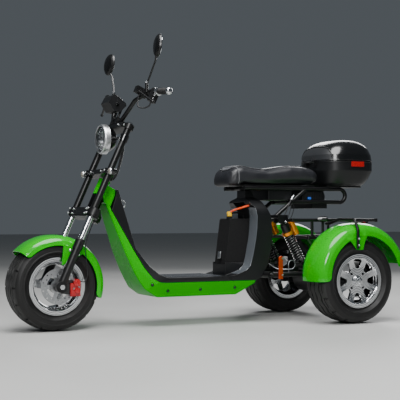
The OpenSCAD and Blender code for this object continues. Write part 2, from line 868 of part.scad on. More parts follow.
head_tube_r = 30;
head_tube_low = lower_crown_z + lower_crown_h + 7;
head_tube_high = upper_crown_z - 7;
neck_back_x = wheel_base - 315;
neck_low = head_tube_low + 66;

module frame() {
    color(GREEN) from_rear() loft([for (row = shell_table) shell_ring(row)]);
}

// Head tube, with a neck that widens down to the top of the leg shield
module head_tube() {
    neck_foot = shell_ring(shell_table[0]);
    lift = [0, 0, seat_gap];
    color(GREEN) from_rear() difference() {
        union() {
            in_fork() translate([-stem_setback, 0, head_tube_low])
                cylinder(r = head_tube_r, h = head_tube_high - head_tube_low);
            hull() {
                loft([[for (p = neck_foot) p + 12 * lift], [for (p = neck_foot) p + lift]]);
                in_fork() translate([-stem_setback - 4, 0, neck_low])
                    cylinder(r = head_tube_r - 6, h = head_tube_high - 20 - neck_low, $fn = 32);
                translate([neck_back_x, -38, 664]) cube([6, 76, 27]);
            }
        }
        in_fork() translate([-stem_setback, 0, head_tube_low - 20])
            cylinder(r = stem_r + running_gap, h = head_tube_high - head_tube_low + 40);
    }
}

// Inner panel: the back of the leg shield, running down into the floor, just behind the frame
panel_gap = 2;
panel_bottom = belly_top + seat_gap;
// Columns: back x, back z, back half width. The front of a row follows the frame's row of that number
panel_back = [
    [wheel_base - 353, 606, 56],
    [wheel_base - 408, 394, 90],
    [wheel_base - 472, 308, floor_half - 40],
    [wheel_base - 517, floor_z + 19, floor_half - 16],
    [wheel_base - 552, floor_z + 3, floor_half - 3],
    [wheel_base - 582, floor_z, floor_half]
];
panel_top_row = [wheel_base - 328, 690, 42, wheel_base - 334, 689, 40];
panel_end_row = [floor_rear, panel_bottom, floor_half, floor_rear, floor_z, floor_half];

function panel_row(i) =
    let (f = shell_table[i + 1], b = panel_back[i])
    [f[3] - panel_gap * (f[4] > floor_z ? 1 : 0), f[4] + seat_gap, f[5] - 0.5, b[0], b[1], b[2]];

module inner_panel() {
    rows = concat([panel_top_row], [for (i = [0 : len(panel_back) - 1]) panel_row(i)], [panel_end_row]);
    color(SATIN) from_rear() loft([for (row = rows) shell_ring(row)]);
}

mat_ribs = 9;
mat_half = floor_half - 32;
mat_from = floor_rear + 40;
mat_to = wheel_base - 592;

module floor_mat() {
    rib_half = mat_half - 12;
    color(RUBBER) from_rear() {
        translate([mat_from, -mat_half, floor_z]) cube([mat_to - mat_from, 2 * mat_half, 3]);
        for (i = [0 : mat_ribs - 1])
            translate([mat_from + 10, -rib_half + i * 2 * rib_half / (mat_ribs - 1) - 4, floor_z + 2])
                cube([mat_to - mat_from - 20, 8, 3]);
    }
}

// Seat box: an outline seen from the side, cut to its outline seen from the front
rail_z = rail_top - rail_r;
cross_tube_r = rail_r - 1;
box_top = rail_z - cross_tube_r - seat_gap;
box_front_x = floor_rear - 1;
box_side = [
    [box_front_x, panel_bottom], [box_front_x, floor_z], [560, 258], [510, 276], [484, 300], [471, 345],
    [452, 440], [445, 500], [443, 560], [450, 606], [472, 630], [470, 642], [460, 656], [460, box_top],
    [420, box_top], [396, 646], [358, 560], [349, 459], [373, 311], [416, 240], [450, panel_bottom]
];
box_front = [
    [floor_half, 0], [floor_half, 560], [floor_half - 10, 600], [104, 640], [44, 660], [40, rail_top],
    [-40, rail_top], [-44, 660], [-104, 640], [-floor_half + 10, 600], [-floor_half, 560], [-floor_half, 0]
];
cavity_x = 408;
cavity_low = 304;
cavity_h = 330;
cavity_half = battery_half + 4;
tray_front = 592;
tray_half = cavity_half + 8;
tray_lip = 10;
tray_sunk = 4;

module seat_box() {
    color(SATIN) from_rear() difference() {
        union() {
            intersection() {
                across(floor_half + 10) polygon(box_side);
                translate([300, 0, 0]) rotate([90, 0, 90]) linear_extrude(height = 400) polygon(box_front);
            }
            translate([cavity_x, -tray_half, floor_z - tray_sunk])
                cube([tray_front - cavity_x, 2 * tray_half, cavity_low + tray_lip - floor_z + tray_sunk]);
        }
        translate([cavity_x, -cavity_half, cavity_low]) cube([260, 2 * cavity_half, cavity_h]);
    }
}

battery_low = cavity_low + seat_gap;
battery_top = 546;
battery_back = cavity_x + 6;
battery_side = [
    [battery_back, battery_low], [586, battery_low], [582, 340], [556, 540], [550, battery_top],
    [battery_back, battery_top]
];

plug_at = [536, 20, battery_top];
plug_size = [22, 24, 12];
lead_foot = plug_at + [11, 12, plug_size[2] + seat_gap];
lead_route = [lead_foot, lead_foot + [0, 0, 24], [500, 86, 604], [462.5, 91, 614.6]];

module battery() {
    color(BLACK) from_rear() {
        across(battery_half) polygon(battery_side);
        translate([580, -20, 330]) rotate([0, -7, 0]) cube([6, 40, 44]);
        translate(plug_at - [0, 0, 1]) cube(plug_size + [0, 0, 1]);
    }
}

module battery_lead() {
    color("#e2501c") from_rear() bent_tube(lead_route, 6, 12);
}

// Seat: a low bench with a dip for the rider
seat_bottom = rail_top + 7;
seat_power = 3.4;
// Columns: x, half width, underside and top above the seat's bottom
seat_table = [
    [32, 96, 16, 60],
    [40, 118, 6, 76],
    [70, 132, 0, 92],
    [140, 139, 0, 103],
    [217, 140, 0, 105],
    [290, 137, 0, 94],
    [360, 133, 0, 83],
    [440, 129, 0, 89],
    [504, 125, 0, 100],
    [518, 124, -12, 100],
    [550, 116, -15, 95],
    [570, 104, -15, 78],
    [583, 88, -9, 50],
    [587, 74, 0, 36]
];

module seat() {
    color(BLACK) from_rear() translate([0, 0, seat_bottom])
        loft([for (row = seat_table) cross_ring(row[0], row[1], row[2], row[3], seat_power, 28)]);
}

// A flat plate that lies on the rails between two lengths, up to the piece that it carries
module rail_plate(x0, x1, half, top) {
    z = rail_top + seat_gap;
    translate([x0, -half, z]) cube([x1 - x0, 2 * half, top - seat_gap - z]);
}

module seat_pan() {
    color(BLACK) from_rear() rail_plate(60, 500, rail_half + 6, seat_bottom);
}

// Rear subframe: hairpin rails under the seat, diagonals and cross tubes
lower_rail_z = 636;
rail_front = 500;
rail_rear = -104;
hairpin_r = (rail_z - lower_rail_z) / 2;
diagonal_low = [310, rail_half, 556];
diagonal_high = [122, rail_half, rail_z - 6];
upper_shock = [274, 130, 527];
lower_shock = [149, 130, 279];
shock_eye_r = 14;
shock_eye_half = 17;
shock_lug_t = 8;
shock_lug_half = shock_eye_half + seat_gap;
// Columns: x, z, half length
cross_tubes = [
    [440, rail_z, rail_half],
    [rail_rear, lower_rail_z, rail_half],
    [180, lower_rail_z, rail_half],
    [diagonal_low[0], diagonal_low[2], upper_shock[1] + shock_lug_half + shock_lug_t]
];

module rear_subframe() {
    lug_x = rack_front + rack_r + seat_gap;
    color(BLACK) from_rear() {
        both_sides() {
            bar([rail_front, rail_half, rail_z], [rail_rear, rail_half, rail_z], rail_r);
            translate([rail_rear, rail_half, (rail_z + lower_rail_z) / 2]) rotate([90, 0, 0])
                rotate_extrude(angle = 180, start = 90) translate([hairpin_r, 0]) circle(r = rail_r);
            bar([rail_rear, rail_half, lower_rail_z], [205, rail_half, lower_rail_z], rail_r);
            bar(diagonal_low, diagonal_high, rail_r);
            for (y = [-shock_lug_half - shock_lug_t, shock_lug_half])
                translate([lug_x, upper_shock[1] + y, upper_shock[2] - 4])
                    cube([upper_shock[0] + 42 - lug_x, shock_lug_t, 42]);
        }
        for (t = cross_tubes) bar([t[0], -t[2], t[1]], [t[0], t[2], t[1]], cross_tube_r);
        translate([-20, -rail_half, lower_rail_z - 34]) cube([96, 2 * rail_half, 24]);
    }
}

// Controller and fuse boxes, held between the rails. The first numbers are their ends along x
rear_box_x = [196, 346];
front_box_x = [-8, 132];

module electrics_boxes() {
    half = rail_half - rail_r - seat_gap;
    low = lower_rail_z - 4;
    color(SATIN) from_rear() {
        translate([front_box_x[0], -half, low])
            cube([front_box_x[1] - front_box_x[0], 2 * half, rail_z - 4 - low]);
        translate([rear_box_x[0], -half, low + 12])
            cube([rear_box_x[1] - rear_box_x[0], 2 * half, rail_z - 8 - low]);
    }
}

// Cable from the fuse box down to the left shock
rear_cable_route = [
    [front_box_x[1] + seat_gap, 60, 684], [160, 60, 684], [186, 112, 682], [226, 128, 640],
    [upper_shock[0] - 12, upper_shock[1], 566], [upper_shock[0] - 6, upper_shock[1], 552]
];

module rear_cable() {
    color(BLACK) from_rear() bent_tube(rear_cable_route, 3, 14);
}

// Swing arm: two straight rails from the pivot tube to the axle plates
arm_half = 180;
arm_z = 250;
arm_r = 14;
arm_tube_r = arm_r + 4;
pivot_x = 388.4;
axle_tube_r = 30;
axle_plate_t = 12;
arm_lug_t = 6;

module swing_arm() {
    color(BLACK) from_rear() {
        bar([pivot_x, -arm_half - arm_tube_r, arm_z], [pivot_x, arm_half + arm_tube_r, arm_z], arm_tube_r);
        bar([lower_shock[0], -arm_half + 4, arm_z - 2], [lower_shock[0], arm_half - 4, arm_z - 2], arm_r - 3);
        both_sides() {
            bar([pivot_x, arm_half, arm_z], [36, arm_half, arm_z], arm_r);
            translate([0, arm_half + axle_plate_t / 2, 0]) rotate([90, 0, 0])
                linear_extrude(height = axle_plate_t) difference() {
                    polygon([[-46, 180], [46, 180], [60, 262], [34, 430], [-34, 430], [-60, 262]]);
                    translate([0, rear_axle_z]) circle(r = axle_tube_r + seat_gap);
                }
            for (y = [-shock_lug_half - arm_lug_t, shock_lug_half])
                translate([lower_shock[0] - 14, lower_shock[1] + y, arm_z]) cube([28, arm_lug_t, 46]);
        }
    }
}

// Drive unit: a motor and differential block on the rear axle
motor_r = 82;
motor_half = 85;
axle_tube_end = 230;

module drive_unit() {
    color(SATIN) from_rear() translate([0, 0, rear_axle_z]) rotate([90, 0, 0]) {
        cylinder(r = motor_r, h = 2 * motor_half, center = true);
        cylinder(r = axle_tube_r, h = 2 * axle_tube_end, center = true);
        cylinder(r = stub_r, h = 2 * (half_track + rear_face + stub_proud), center = true);
    }
}

// Shock absorbers between the subframe and the swing arm
shock_len = norm(upper_shock - lower_shock);
spring_low = 44;
spring_high = 196;
spring_mean_r = 27;
wire_r = 4.2;
coils = 8;
wire_sides = 8;
steps_per_coil = 14;
spring_seat_r = 32;
damper_head_r = 24;

// Places a shape along a shock, with z from the lower eye to the upper eye
module along_shock() {
    d = upper_shock - lower_shock;
    both_sides() translate(lower_shock) rotate([0, atan2(d[0], d[2]), 0]) children();
}

module shock_dampers() {
    seat_top = spring_low - wire_r - seat_gap;
    head_low = spring_high + wire_r + seat_gap;
    color(BLACK) from_rear() along_shock() {
        for (z = [0, shock_len])
            translate([0, 0, z]) rotate([90, 0, 0])
                cylinder(r = shock_eye_r, h = 2 * shock_eye_half, center = true);
        cylinder(r = 9, h = shock_len);
        translate([0, 0, seat_top - 14]) cylinder(r = spring_seat_r, h = 14);
        translate([0, 0, head_low]) cylinder(r = damper_head_r, h = shock_len - head_low - 16);
        translate([0, 0, 120]) cylinder(r = 19, h = shock_len - 130);
    }
}

module shock_springs() {
    n = coils * steps_per_coil;
    color(BLACK) from_rear() along_shock() loft([
        for (i = [0 : n])
            let (a = 360 * i / steps_per_coil, z = spring_low + (spring_high - spring_low) * i / n)
                [
                    for (k = [0 : wire_sides - 1])
                        let (b = -360 * k / wire_sides, r = spring_mean_r + wire_r * cos(b))
                            [r * cos(a), r * sin(a), z + wire_r * sin(b)]
                ]
    ]);
}

// Gas reservoirs beside the dampers, each on a bridge to the damper's head
reservoir_at = [-58, -26, 176];
reservoir_r = 19;
reservoir_h = 76;

module shock_reservoirs() {
    reach = norm([reservoir_at[0], reservoir_at[1]]) - damper_head_r - seat_gap;
    color(ORANGE) from_rear() along_shock() {
        translate(reservoir_at) {
            cylinder(r = reservoir_r, h = reservoir_h);
            translate([0, 0, reservoir_h]) cylinder(r = reservoir_r - 3, h = 8);
            translate([0, 0, reservoir_h - 2]) rotate([0, 0, atan2(-reservoir_at[1], -reservoir_at[0])])
                translate([0, -8, 0]) cube([reach, 16, 9]);
        }
        translate([0, 0, spring_high + 8]) difference() {
            cylinder(r = spring_seat_r, h = 16);
            translate([0, 0, -1]) cylinder(r = damper_head_r + running_gap, h = 30);
        }
    }
}

link_x = 330;

module suspension_links() {
    color(ORANGE) from_rear() both_sides() translate([link_x, arm_half + arm_r + seat_gap, 0]) {
        translate([-12, 0, 228]) cube([24, 10, 108]);
        translate([0, 0, 336]) rotate([-90, 0, 0]) cylinder(r = 12, h = 10);
    }
}

// Rear fenders, set a little back from and above the wheels, and their stays
rear_fender_at = [-31, half_track, rear_axle_z + 19];
rear_fender_depth = 68;
rear_fender_from = -4;
rear_fender_to = 167;
rear_fender_rounds = [28, 15];
// Columns: distance of the tab's edge ahead of the stay, height above the fender's middle
rear_tab_tip = [[25, 172], [9, 154], [-1, 143], [-39, 143], [-45, 168], [-53, 190]];
stay_x = 28;
stay_r = 8;
stay_end_z = rear_fender_at[2] + 150;

module rear_fenders() {
    tab_r = 1.02 * (rear_fender_r - rear_fender_depth);
    tab_x = stay_x - rear_fender_at[0];
    color(GREEN) from_rear() both_sides() translate(rear_fender_at) {
        fender_arch(
            rear_fender_r, rear_fender_half, rear_fender_depth, rear_fender_from, rear_fender_to,
            rear_fender_rounds[0], rear_fender_rounds[1]
        );
        fender_tab(
            rear_fender_half,
            concat([polar(tab_r, 92), polar(tab_r, 62)], [for (p = rear_tab_tip) [tab_x + p[0], p[1]]])
        );
    }
}

module fender_stays() {
    outer = half_track + rear_fender_half + tab_proud + seat_gap + stay_r;
    under_rack = rack_top - 2 * rack_r - seat_gap - stay_r;
    route = [
        [stay_x, rack_half - 16, under_rack], [stay_x, rack_half + 20, under_rack],
        [stay_x, half_track - 50, 541], [stay_x, outer - 26, 540], [stay_x, outer, 488],
        [stay_x, outer, stay_end_z]
    ];
    color(BLACK) from_rear() both_sides() bent_tube(route, stay_r, 30);
}

// Luggage rack: an upper and a lower ring of tube joined by posts, above the axle
rack_r = 9;
corner_bead = 0.8;
rack_front = 250;
rack_rear = -290;
rack_low_z = 444;
rack_low_front = 150;
rack_low_rear = rack_rear + 40;
rack_posts = [130, 60, -120, -230];
strap_half = 70;
strap_xs = [-60, -180];
strap_w = 28;
strap_t = 5;
strap_drop = 1.5;
strap_hole_r = 3.3;

module rack_ring(z, x0, x1) {
    for (s = [-1, 1]) bar([x0, s * rack_half, z], [x1, s * rack_half, z], rack_r);
    for (x = [x0, x1]) {
        bar([x, -rack_half, z], [x, rack_half, z], rack_r);
        for (s = [-1, 1])
            translate([x, s * rack_half, z])
                cylinder(r = rack_r + corner_bead, h = 2 * rack_r + corner_bead, center = true);
    }
}

module luggage_rack() {
    top = rack_top - rack_r;
    color(BLACK) from_rear() difference() {
        union() {
            rack_ring(top, rack_front, rack_rear);
            rack_ring(rack_low_z, rack_low_front, rack_low_rear);
            for (x = rack_posts, s = [-1, 1])
                bar([x, s * rack_half, rack_low_z], [x, s * rack_half, top], rack_r - 2);
            for (x = strap_xs)
                translate([x - strap_w / 2, -rack_half, rack_top - strap_t - strap_drop])
                    cube([strap_w, 2 * rack_half, strap_t]);
        }
        for (x = strap_xs, s = [-1, 1])
            translate([x, s * strap_half, rack_top - 20]) cylinder(r = strap_hole_r, h = 40);
    }
}

module rear_indicators() {
    reach = 34;
    color(BLACK) from_rear() both_sides() translate([86, rack_half + reach, rack_top - 4]) {
        rotate([0, -90, -20]) rotate_extrude()
            polygon([[0, -30], [10, -26], [15, -6], [16, 20], [14, 26], [0, 28]]);
        bar([0, -4, -6], [0, rack_r + seat_gap - reach, -6], 5);
    }
}

module tail_lamp() {
    size = [20, 120, 28];
    color(RED) from_rear()
        translate([rack_rear - rack_r - seat_gap - size[0], -size[1] / 2, rack_top - 32]) cube(size);
}

// Top case: a base and a domed lid, both hollow, hinged at the front
case_power = 3.2;
case_points = 40;
lid_h = case_top - case_split;
// Columns: height, inset of the front, inset of the rear, inset of the sides
base_table = [
    [case_bottom, 22, 60, 46],
    [case_bottom + 14, 12, 42, 30],
    [case_bottom + 40, 6, 22, 15],
    [case_bottom + 84, 0, 0, 0],
    [case_split - 1, 0, 0, 0]
];
lid_table = [
    [case_split + 1, 0, 0, 0],
    [case_split + 0.3 * lid_h, 5, 5, 5],
    [case_split + 0.55 * lid_h, 20, 19, 16],
    [case_split + 0.75 * lid_h, 44, 40, 34],
    [case_split + 0.9 * lid_h, 78, 72, 60],
    [case_split + 0.97 * lid_h, 108, 100, 84],
    [case_top, 138, 128, 110]
];

function case_ring(row, wall, lift) =
    level_ring(
        -case_rear + row[2] + wall, case_front - row[1] - wall, case_half - row[3] - wall,
        case_power, row[0] + lift, case_points
    );

// The rings of a shell: up the outside, then down the inside
function shell_rings(table, lift) = concat(
    [for (row = table) case_ring(row, 0, 0)],
    [for (i = [len(table) - 1 : -1 : 0]) case_ring(table[i], case_wall, i == len(table) - 1 ? 0 : lift)]
);

hinge_x = case_front + 11;
hinge_z = case_split;
hinge_r = 8;
hinge_pin_r = 3.5;
hinge_knuckle = 30;
hinge_lug = 26;

module case_base() {
    color(BLACK) from_rear() loft(shell_rings(base_table, case_wall));
}

module case_hinge() {
    knuckle_y = hinge_knuckle + 0.5;
    color(BLACK) from_rear() {
        both_sides() {
            translate([hinge_x, knuckle_y, hinge_z]) rotate([-90, 0, 0]) cylinder(r = hinge_r, h = hinge_lug);
            translate([case_front + seat_gap, knuckle_y, hinge_z - 30])
                cube([hinge_x - case_front + 4, hinge_lug, 26]);
        }
        translate([hinge_x, 0, hinge_z]) rotate([90, 0, 0])
            cylinder(r = hinge_pin_r, h = 2 * hinge_knuckle + 10, center = true);
    }
}

module case_lid() {
    color(BLACK) from_rear() difference() {
        union() {
            loft(shell_rings(reversed(lid_table), -case_wall));
            translate([hinge_x, 0, hinge_z]) rotate([90, 0, 0])
                cylinder(r = hinge_r, h = 2 * hinge_knuckle, center = true);
            translate([case_front - 1.5, -hinge_knuckle, hinge_z + 3])
                cube([hinge_x - case_front + 4, 2 * hinge_knuckle, 20]);
        }
        translate([hinge_x, 0, hinge_z]) rotate([90, 0, 0])
            cylinder(r = hinge_pin_r + running_gap, h = 2 * hinge_knuckle + 10, center = true);
    }
}

// The reflectors follow the side of the base
reflector_x = [-212, -128];
reflector_t = 3;
reflector_h = 28;
reflector_steps = 6;
function case_side(x) =
    let (reach = (case_front + case_rear) / 2, d = abs(x - (case_front - case_rear) / 2) / reach)
    case_half * pow(1 - pow(d, case_power), 1 / case_power) + seat_gap;

module case_reflectors() {
    xs = [
        for (i = [0 : reflector_steps])
            reflector_x[0] + (reflector_x[1] - reflector_x[0]) * i / reflector_steps
    ];
    color(RED) from_rear() both_sides()
        translate([0, 0, case_split - reflector_h - 4]) linear_extrude(height = reflector_h)
            polygon(concat(
                [for (x = xs) [x, case_side(x)]], [for (x = reversed(xs)) [x, case_side(x) + reflector_t]]
            ));
}

module case_plate() {
    color(BLACK) from_rear() rail_plate(-240, -14, rail_half + 12, case_bottom);
}

frame();
head_tube();
inner_panel();
floor_mat();
seat_box();
battery();
battery_lead();
seat_pan();
seat();
rear_subframe();
electrics_boxes();
swing_arm();
drive_unit();
shock_dampers();
shock_springs();
shock_reservoirs();
suspension_links();
rear_fenders();
fender_stays();
luggage_rack();
rear_indicators();
tail_lamp();
rear_cable();
case_plate();
case_base();
case_hinge();
fork_crowns();
fork_upper_tubes();
fork_inner_tubes();
fork_sliders();
front_axle();
handlebar();
grips();
brake_levers();
switch_pods();
mirrors();
mirror_glass();
headlamp_shell();
headlamp_bezel();
headlamp_lens();
instrument();
instrument_glass();
front_indicators();
front_fender();
front_caliper();
brake_hose();
control_loom();
front_tyre();
front_rim();
front_disc();
rear_tyre_left();
rear_rim_left();
rear_tyre_right();
rear_rim_right();
case_lid();
case_reflectors();
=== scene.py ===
# %% [markdown]
# # A three-wheeled electric scooter
# The solids of the frame, wheels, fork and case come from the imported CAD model, and nothing here moves
# them. This lesson gives each one its finish and adds what a CAD solid can't show well: the padded seat,
# the tyres' tread, hoses and cables, bright trim and fasteners. All is in metres, in the model's own frame.

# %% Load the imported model
import json
import math

import bmesh
import bpy
from mathutils import Matrix, Vector
from mathutils.bvhtree import BVHTree


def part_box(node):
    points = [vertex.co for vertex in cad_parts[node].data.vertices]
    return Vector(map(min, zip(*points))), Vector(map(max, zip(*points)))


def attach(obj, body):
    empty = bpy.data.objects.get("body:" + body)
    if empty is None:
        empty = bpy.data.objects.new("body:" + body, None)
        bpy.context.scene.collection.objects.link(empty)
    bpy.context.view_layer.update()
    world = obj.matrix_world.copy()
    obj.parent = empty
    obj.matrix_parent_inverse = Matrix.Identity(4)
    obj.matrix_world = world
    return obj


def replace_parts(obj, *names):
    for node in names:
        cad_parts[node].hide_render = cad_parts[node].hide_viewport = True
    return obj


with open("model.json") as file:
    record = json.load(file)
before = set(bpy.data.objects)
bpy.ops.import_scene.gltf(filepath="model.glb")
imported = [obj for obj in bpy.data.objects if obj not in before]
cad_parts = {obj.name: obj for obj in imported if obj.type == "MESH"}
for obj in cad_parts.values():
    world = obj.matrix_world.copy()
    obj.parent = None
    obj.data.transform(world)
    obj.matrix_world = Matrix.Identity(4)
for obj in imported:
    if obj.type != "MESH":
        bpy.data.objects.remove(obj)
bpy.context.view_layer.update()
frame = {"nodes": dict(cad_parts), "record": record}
nodes = frame["nodes"]
BODY_OF = {node: body for body, names in frame["record"]["behaviour"]["bodies"].items() for node in names}

# %% [markdown]
# The source of the solids measures lengths from the rear axle and along the raked fork. The same two
# frames are kept here, so that a piece can be placed by the numbers of the part that carries it.

# %% Places on the vehicle
MM = 0.001
WHEEL_BASE = 1515
MID_X = 705
FRONT_AXLE_Z = 219
REAR_AXLE_Z = 222
HALF_TRACK = 350
RAKE = math.radians(24.1)
LEG_HALF = 136
TOP_CLAMP_Z = 840
FORWARD, LEFT, UP = Vector((1, 0, 0)), Vector((0, 1, 0)), Vector((0, 0, 1))


def from_axle(x, y, z):
    return Vector((x - MID_X, y, z)) * MM


def fork_turn(x, y, z):
    """A direction of the fork's own frame, in the model's frame."""
    c, s = math.cos(RAKE), math.sin(RAKE)
    return Vector((x * c - z * s, y, x * s + z * c))


def on_fork(x, y, z):
    return from_axle(WHEEL_BASE, 0, FRONT_AXLE_Z) + fork_turn(x, y, z) * MM


def on_bars(x, y, z):
    return on_fork(x, y, TOP_CLAMP_Z + z)


def along(place, *spots):
    """A route through spots of one frame: place is from_axle, on_fork or on_bars."""
    return [place(*spot) for spot in spots]


def other_side(p):
    return Vector((p[0], -p[1], p[2]))


def both(spots):
    """Each place and direction, and its mirror image on the right."""
    return [pair for p, d in spots for pair in ((p, d), (other_side(p), other_side(d)))]


print("top clamp at", tuple(round(v, 3) for v in on_bars(0, 0, 0)))

# %% [markdown]
# The camera stands at the left front, a little over half a metre up, as a person crouching with a short
# telephoto lens would. Its place and lens were fitted to the three wheels in the photo.

# %% Camera
camera_data = bpy.data.cameras.new("photo_camera")
camera_data.sensor_width = 36
camera_data.lens = 86.93
camera = bpy.data.objects.new("photo_camera", camera_data)
bpy.context.scene.collection.objects.link(camera)
camera.location = (2.2623, 4.5672, 0.5408)
camera.rotation_mode = "QUATERNION"
camera.rotation_quaternion = Vector((-0.4438, -0.8960, 0.0202)).to_track_quat("-Z", "Y")
bpy.context.scene.camera = camera
print("lens", camera_data.lens, "mm")

# %% [markdown]
# A pale floor, a grey surround and three large soft lights stand for a bright overcast day: broad
# highlights along the tops of the fenders, and soft shadows under the vehicle.

# %% Floor and light
def linear(hex_colour):
    """An sRGB hex value as linear RGBA."""
    parts = [int(hex_colour[i : i + 2], 16) / 255 for i in (1, 3, 5)]
    return [p / 12.92 if p <= 0.04045 else ((p + 0.055) / 1.055) ** 2.4 for p in parts] + [1.0]


def add(tree, kind, inputs=None, **settings):
    """Adds a node with its settings, and sets or links its inputs."""
    node = tree.nodes.new(kind)
    for key, value in settings.items():
        setattr(node, key, value)
    for key, value in (inputs or {}).items():
        if isinstance(value, bpy.types.NodeSocket):
            tree.links.new(value, node.inputs[key])
        else:
            node.inputs[key].default_value = value
    return node


world = bpy.data.worlds.new("overcast")
world.use_nodes = True
world.node_tree.nodes["Background"].inputs["Color"].default_value = linear("#8A9299")
world.node_tree.nodes["Background"].inputs["Strength"].default_value = 0.32
bpy.context.scene.world = world


def soft_light(name, place, target, size, watts):
    data = bpy.data.lights.new(name, "AREA")
    data.shape = "DISK"
    data.size = size
    data.energy = watts
    light = bpy.data.objects.new(name, data)
    light.location = place
    light.rotation_mode = "QUATERNION"
    light.rotation_quaternion = (Vector(target) - Vector(place)).to_track_quat("-Z", "Y")
    bpy.context.scene.collection.objects.link(light)


soft_light("sky", (0.6, 1.4, 4.6), (0, 0, 0.4), size=3.6, watts=430)
soft_light("front_left", (2.6, 4.2, 2.8), (0.1, 0, 0.5), size=1.8, watts=170)
soft_light("rear_right", (-3.0, -3.0, 2.6), (-0.2, 0, 0.6), size=2.4, watts=90)

bpy.ops.object.select_all(action="DESELECT")
bpy.ops.mesh.primitive_plane_add(size=60, location=(0, 0, 0))
floor = bpy.context.object
floor.name = "floor"
print("three lights over the floor")

# %% [markdown]
# Every finish starts from two close tones in broad patches, a roughness that wanders a little, and a fine
# bump. One function builds that base and returns its nodes, and a finish with a pattern of its own then
# adds to them. Sizes are given in millimetres of the real surface. A grain that is finer than a few
# millimetres wouldn't show at this distance, so it is drawn as coarse as it needs to show.

# %% The base of every finish
MIX_A, MIX_B, MIX_OUT = 6, 7, 2  # A colour Mix keeps its colour sockets after its number sockets


def maths(tree, operation, *values):
    return add(tree, "ShaderNodeMath", dict(enumerate(values)), operation=operation).outputs["Value"]


def vectors(tree, operation, *values, out="Vector"):
    return add(tree, "ShaderNodeVectorMath", dict(enumerate(values)), operation=operation).outputs[out]


def blend(tree, share, tone_a, tone_b):
    """A colour that lies between two by a share."""
    inputs = {0: share, MIX_A: tone_a, MIX_B: tone_b}
    return add(tree, "ShaderNodeMix", inputs, data_type="RGBA").outputs[MIX_OUT]


def remap(tree, value, low=0.0, high=1.0, to_low=0.0, to_high=1.0):
    """A number moved from one range to another."""
    ends = {"Value": value, "From Min": low, "From Max": high, "To Min": to_low, "To Max": to_high}
    return add(tree, "ShaderNodeMapRange", ends).outputs["Result"]


def finish(name, slot, tones, rough, grain_mm, bump_mm, patch_mm=180, **sockets):
    """A material of two tones and two roughnesses, with a bump of that grain and height."""
    material = bpy.data.materials.new(name)
    material.use_nodes = True
    tree = material.node_tree
    shader = tree.nodes["Principled BSDF"]
    place = add(tree, "ShaderNodeTexCoord").outputs["Object"]
    patch = add(tree, "ShaderNodeTexNoise", {"Vector": place, "Scale": 1 / (patch_mm * MM), "Detail": 4.0})
    grain = add(tree, "ShaderNodeTexNoise", {"Vector": place, "Scale": 1 / (grain_mm * MM), "Detail": 3.0})
    colour = blend(tree, patch.outputs["Fac"], linear(tones[0]), linear(tones[1]))
    bump = add(
        tree, "ShaderNodeBump", {"Height": grain.outputs["Fac"], "Distance": bump_mm * MM, "Strength": 0.6}
    )
    tree.links.new(colour, shader.inputs["Base Color"])
    tree.links.new(remap(tree, patch.outputs["Fac"], 0.3, 0.7, *rough), shader.inputs["Roughness"])
    tree.links.new(bump.outputs["Normal"], shader.inputs["Normal"])
    for key, value in sockets.items():
        shader.inputs[key.replace("_", " ")].default_value = value
    return material, tree, shader, place, colour, bump


def inside_box(tree, place, low, high):
    """A mask that is 1 between two corners of the model's frame and 0 outside them."""
    middle, half = (low + high) / 2, (high - low) / 2
    away = vectors(tree, "ABSOLUTE", vectors(tree, "SUBTRACT", place, middle))
    past = add(tree, "ShaderNodeSeparateXYZ", {0: vectors(tree, "SUBTRACT", away, half)}).outputs
    most = maths(tree, "MAXIMUM", maths(tree, "MAXIMUM", past["X"], past["Y"]), past["Z"])
    return maths(tree, "LESS_THAN", most, 0.0)


def repaint(parts, low, high, tone):
    """Gives a finish another colour between two corners."""
    _, tree, shader, place, _, _ = parts
    mask = inside_box(tree, place, low, high)
    under = shader.inputs["Base Color"].links[0].from_socket
    tree.links.new(blend(tree, mask, under, linear(tone)), shader.inputs["Base Color"])


print("finish tools ready")

# %% [markdown]
# Paints, plastics and rubbers. The greens and blacks are used by more than one of them.

# %% Paints, plastics and rubbers
GREENS, GREEN_GLOSS = ("#009600", "#00A400"), (0.24, 0.34)
GREEN_COAT = {"Coat_Weight": 0.03, "Coat_Roughness": 0.05, "Specular_IOR_Level": 0.05}
BLACKS = ("#050506", "#0A0A0B")
# Enamel over folded steel: deep colour with a thin gloss and a faint orange peel
green_enamel = finish("gloss_green_enamel", "green_paint", GREENS, GREEN_GLOSS, 9, 0.08, **GREEN_COAT)[0]
# The moulded fenders have a thick clear coat over the same green
fender_enamel = finish(
    "clear_coated_green_enamel", "green_paint", GREENS, GREEN_GLOSS, 9, 0.08,
    Coat_Weight=0.7, Coat_Roughness=0.08, Specular_IOR_Level=0.1,
)[0]
# The steering head is sprayed green at its top and sides, and left black where the crowns hide it
head_paint = finish("two_tone_head_enamel", "green_paint", GREENS, GREEN_GLOSS, 9, 0.08, **GREEN_COAT)
repaint(head_paint, from_axle(1262, -80, 500), from_axle(1400, 80, 672), BLACKS[1])
head_enamel = head_paint[0]
# Powder coat: a satin black skin with a slight texture
black_coat = finish(
    "black_powder_coat", "black_paint", BLACKS, (0.3, 0.42), 5, 0.08, Specular_IOR_Level=0.4
)[0]
# Grained ABS mouldings: charcoal, matt, with a moulded leather grain
charcoal_abs = finish(
    "charcoal_grained_abs", "black_plastic", ("#0A0B0C", "#101113"), (0.32, 0.42), 4, 0.1,
    Specular_IOR_Level=0.4,
)[0]
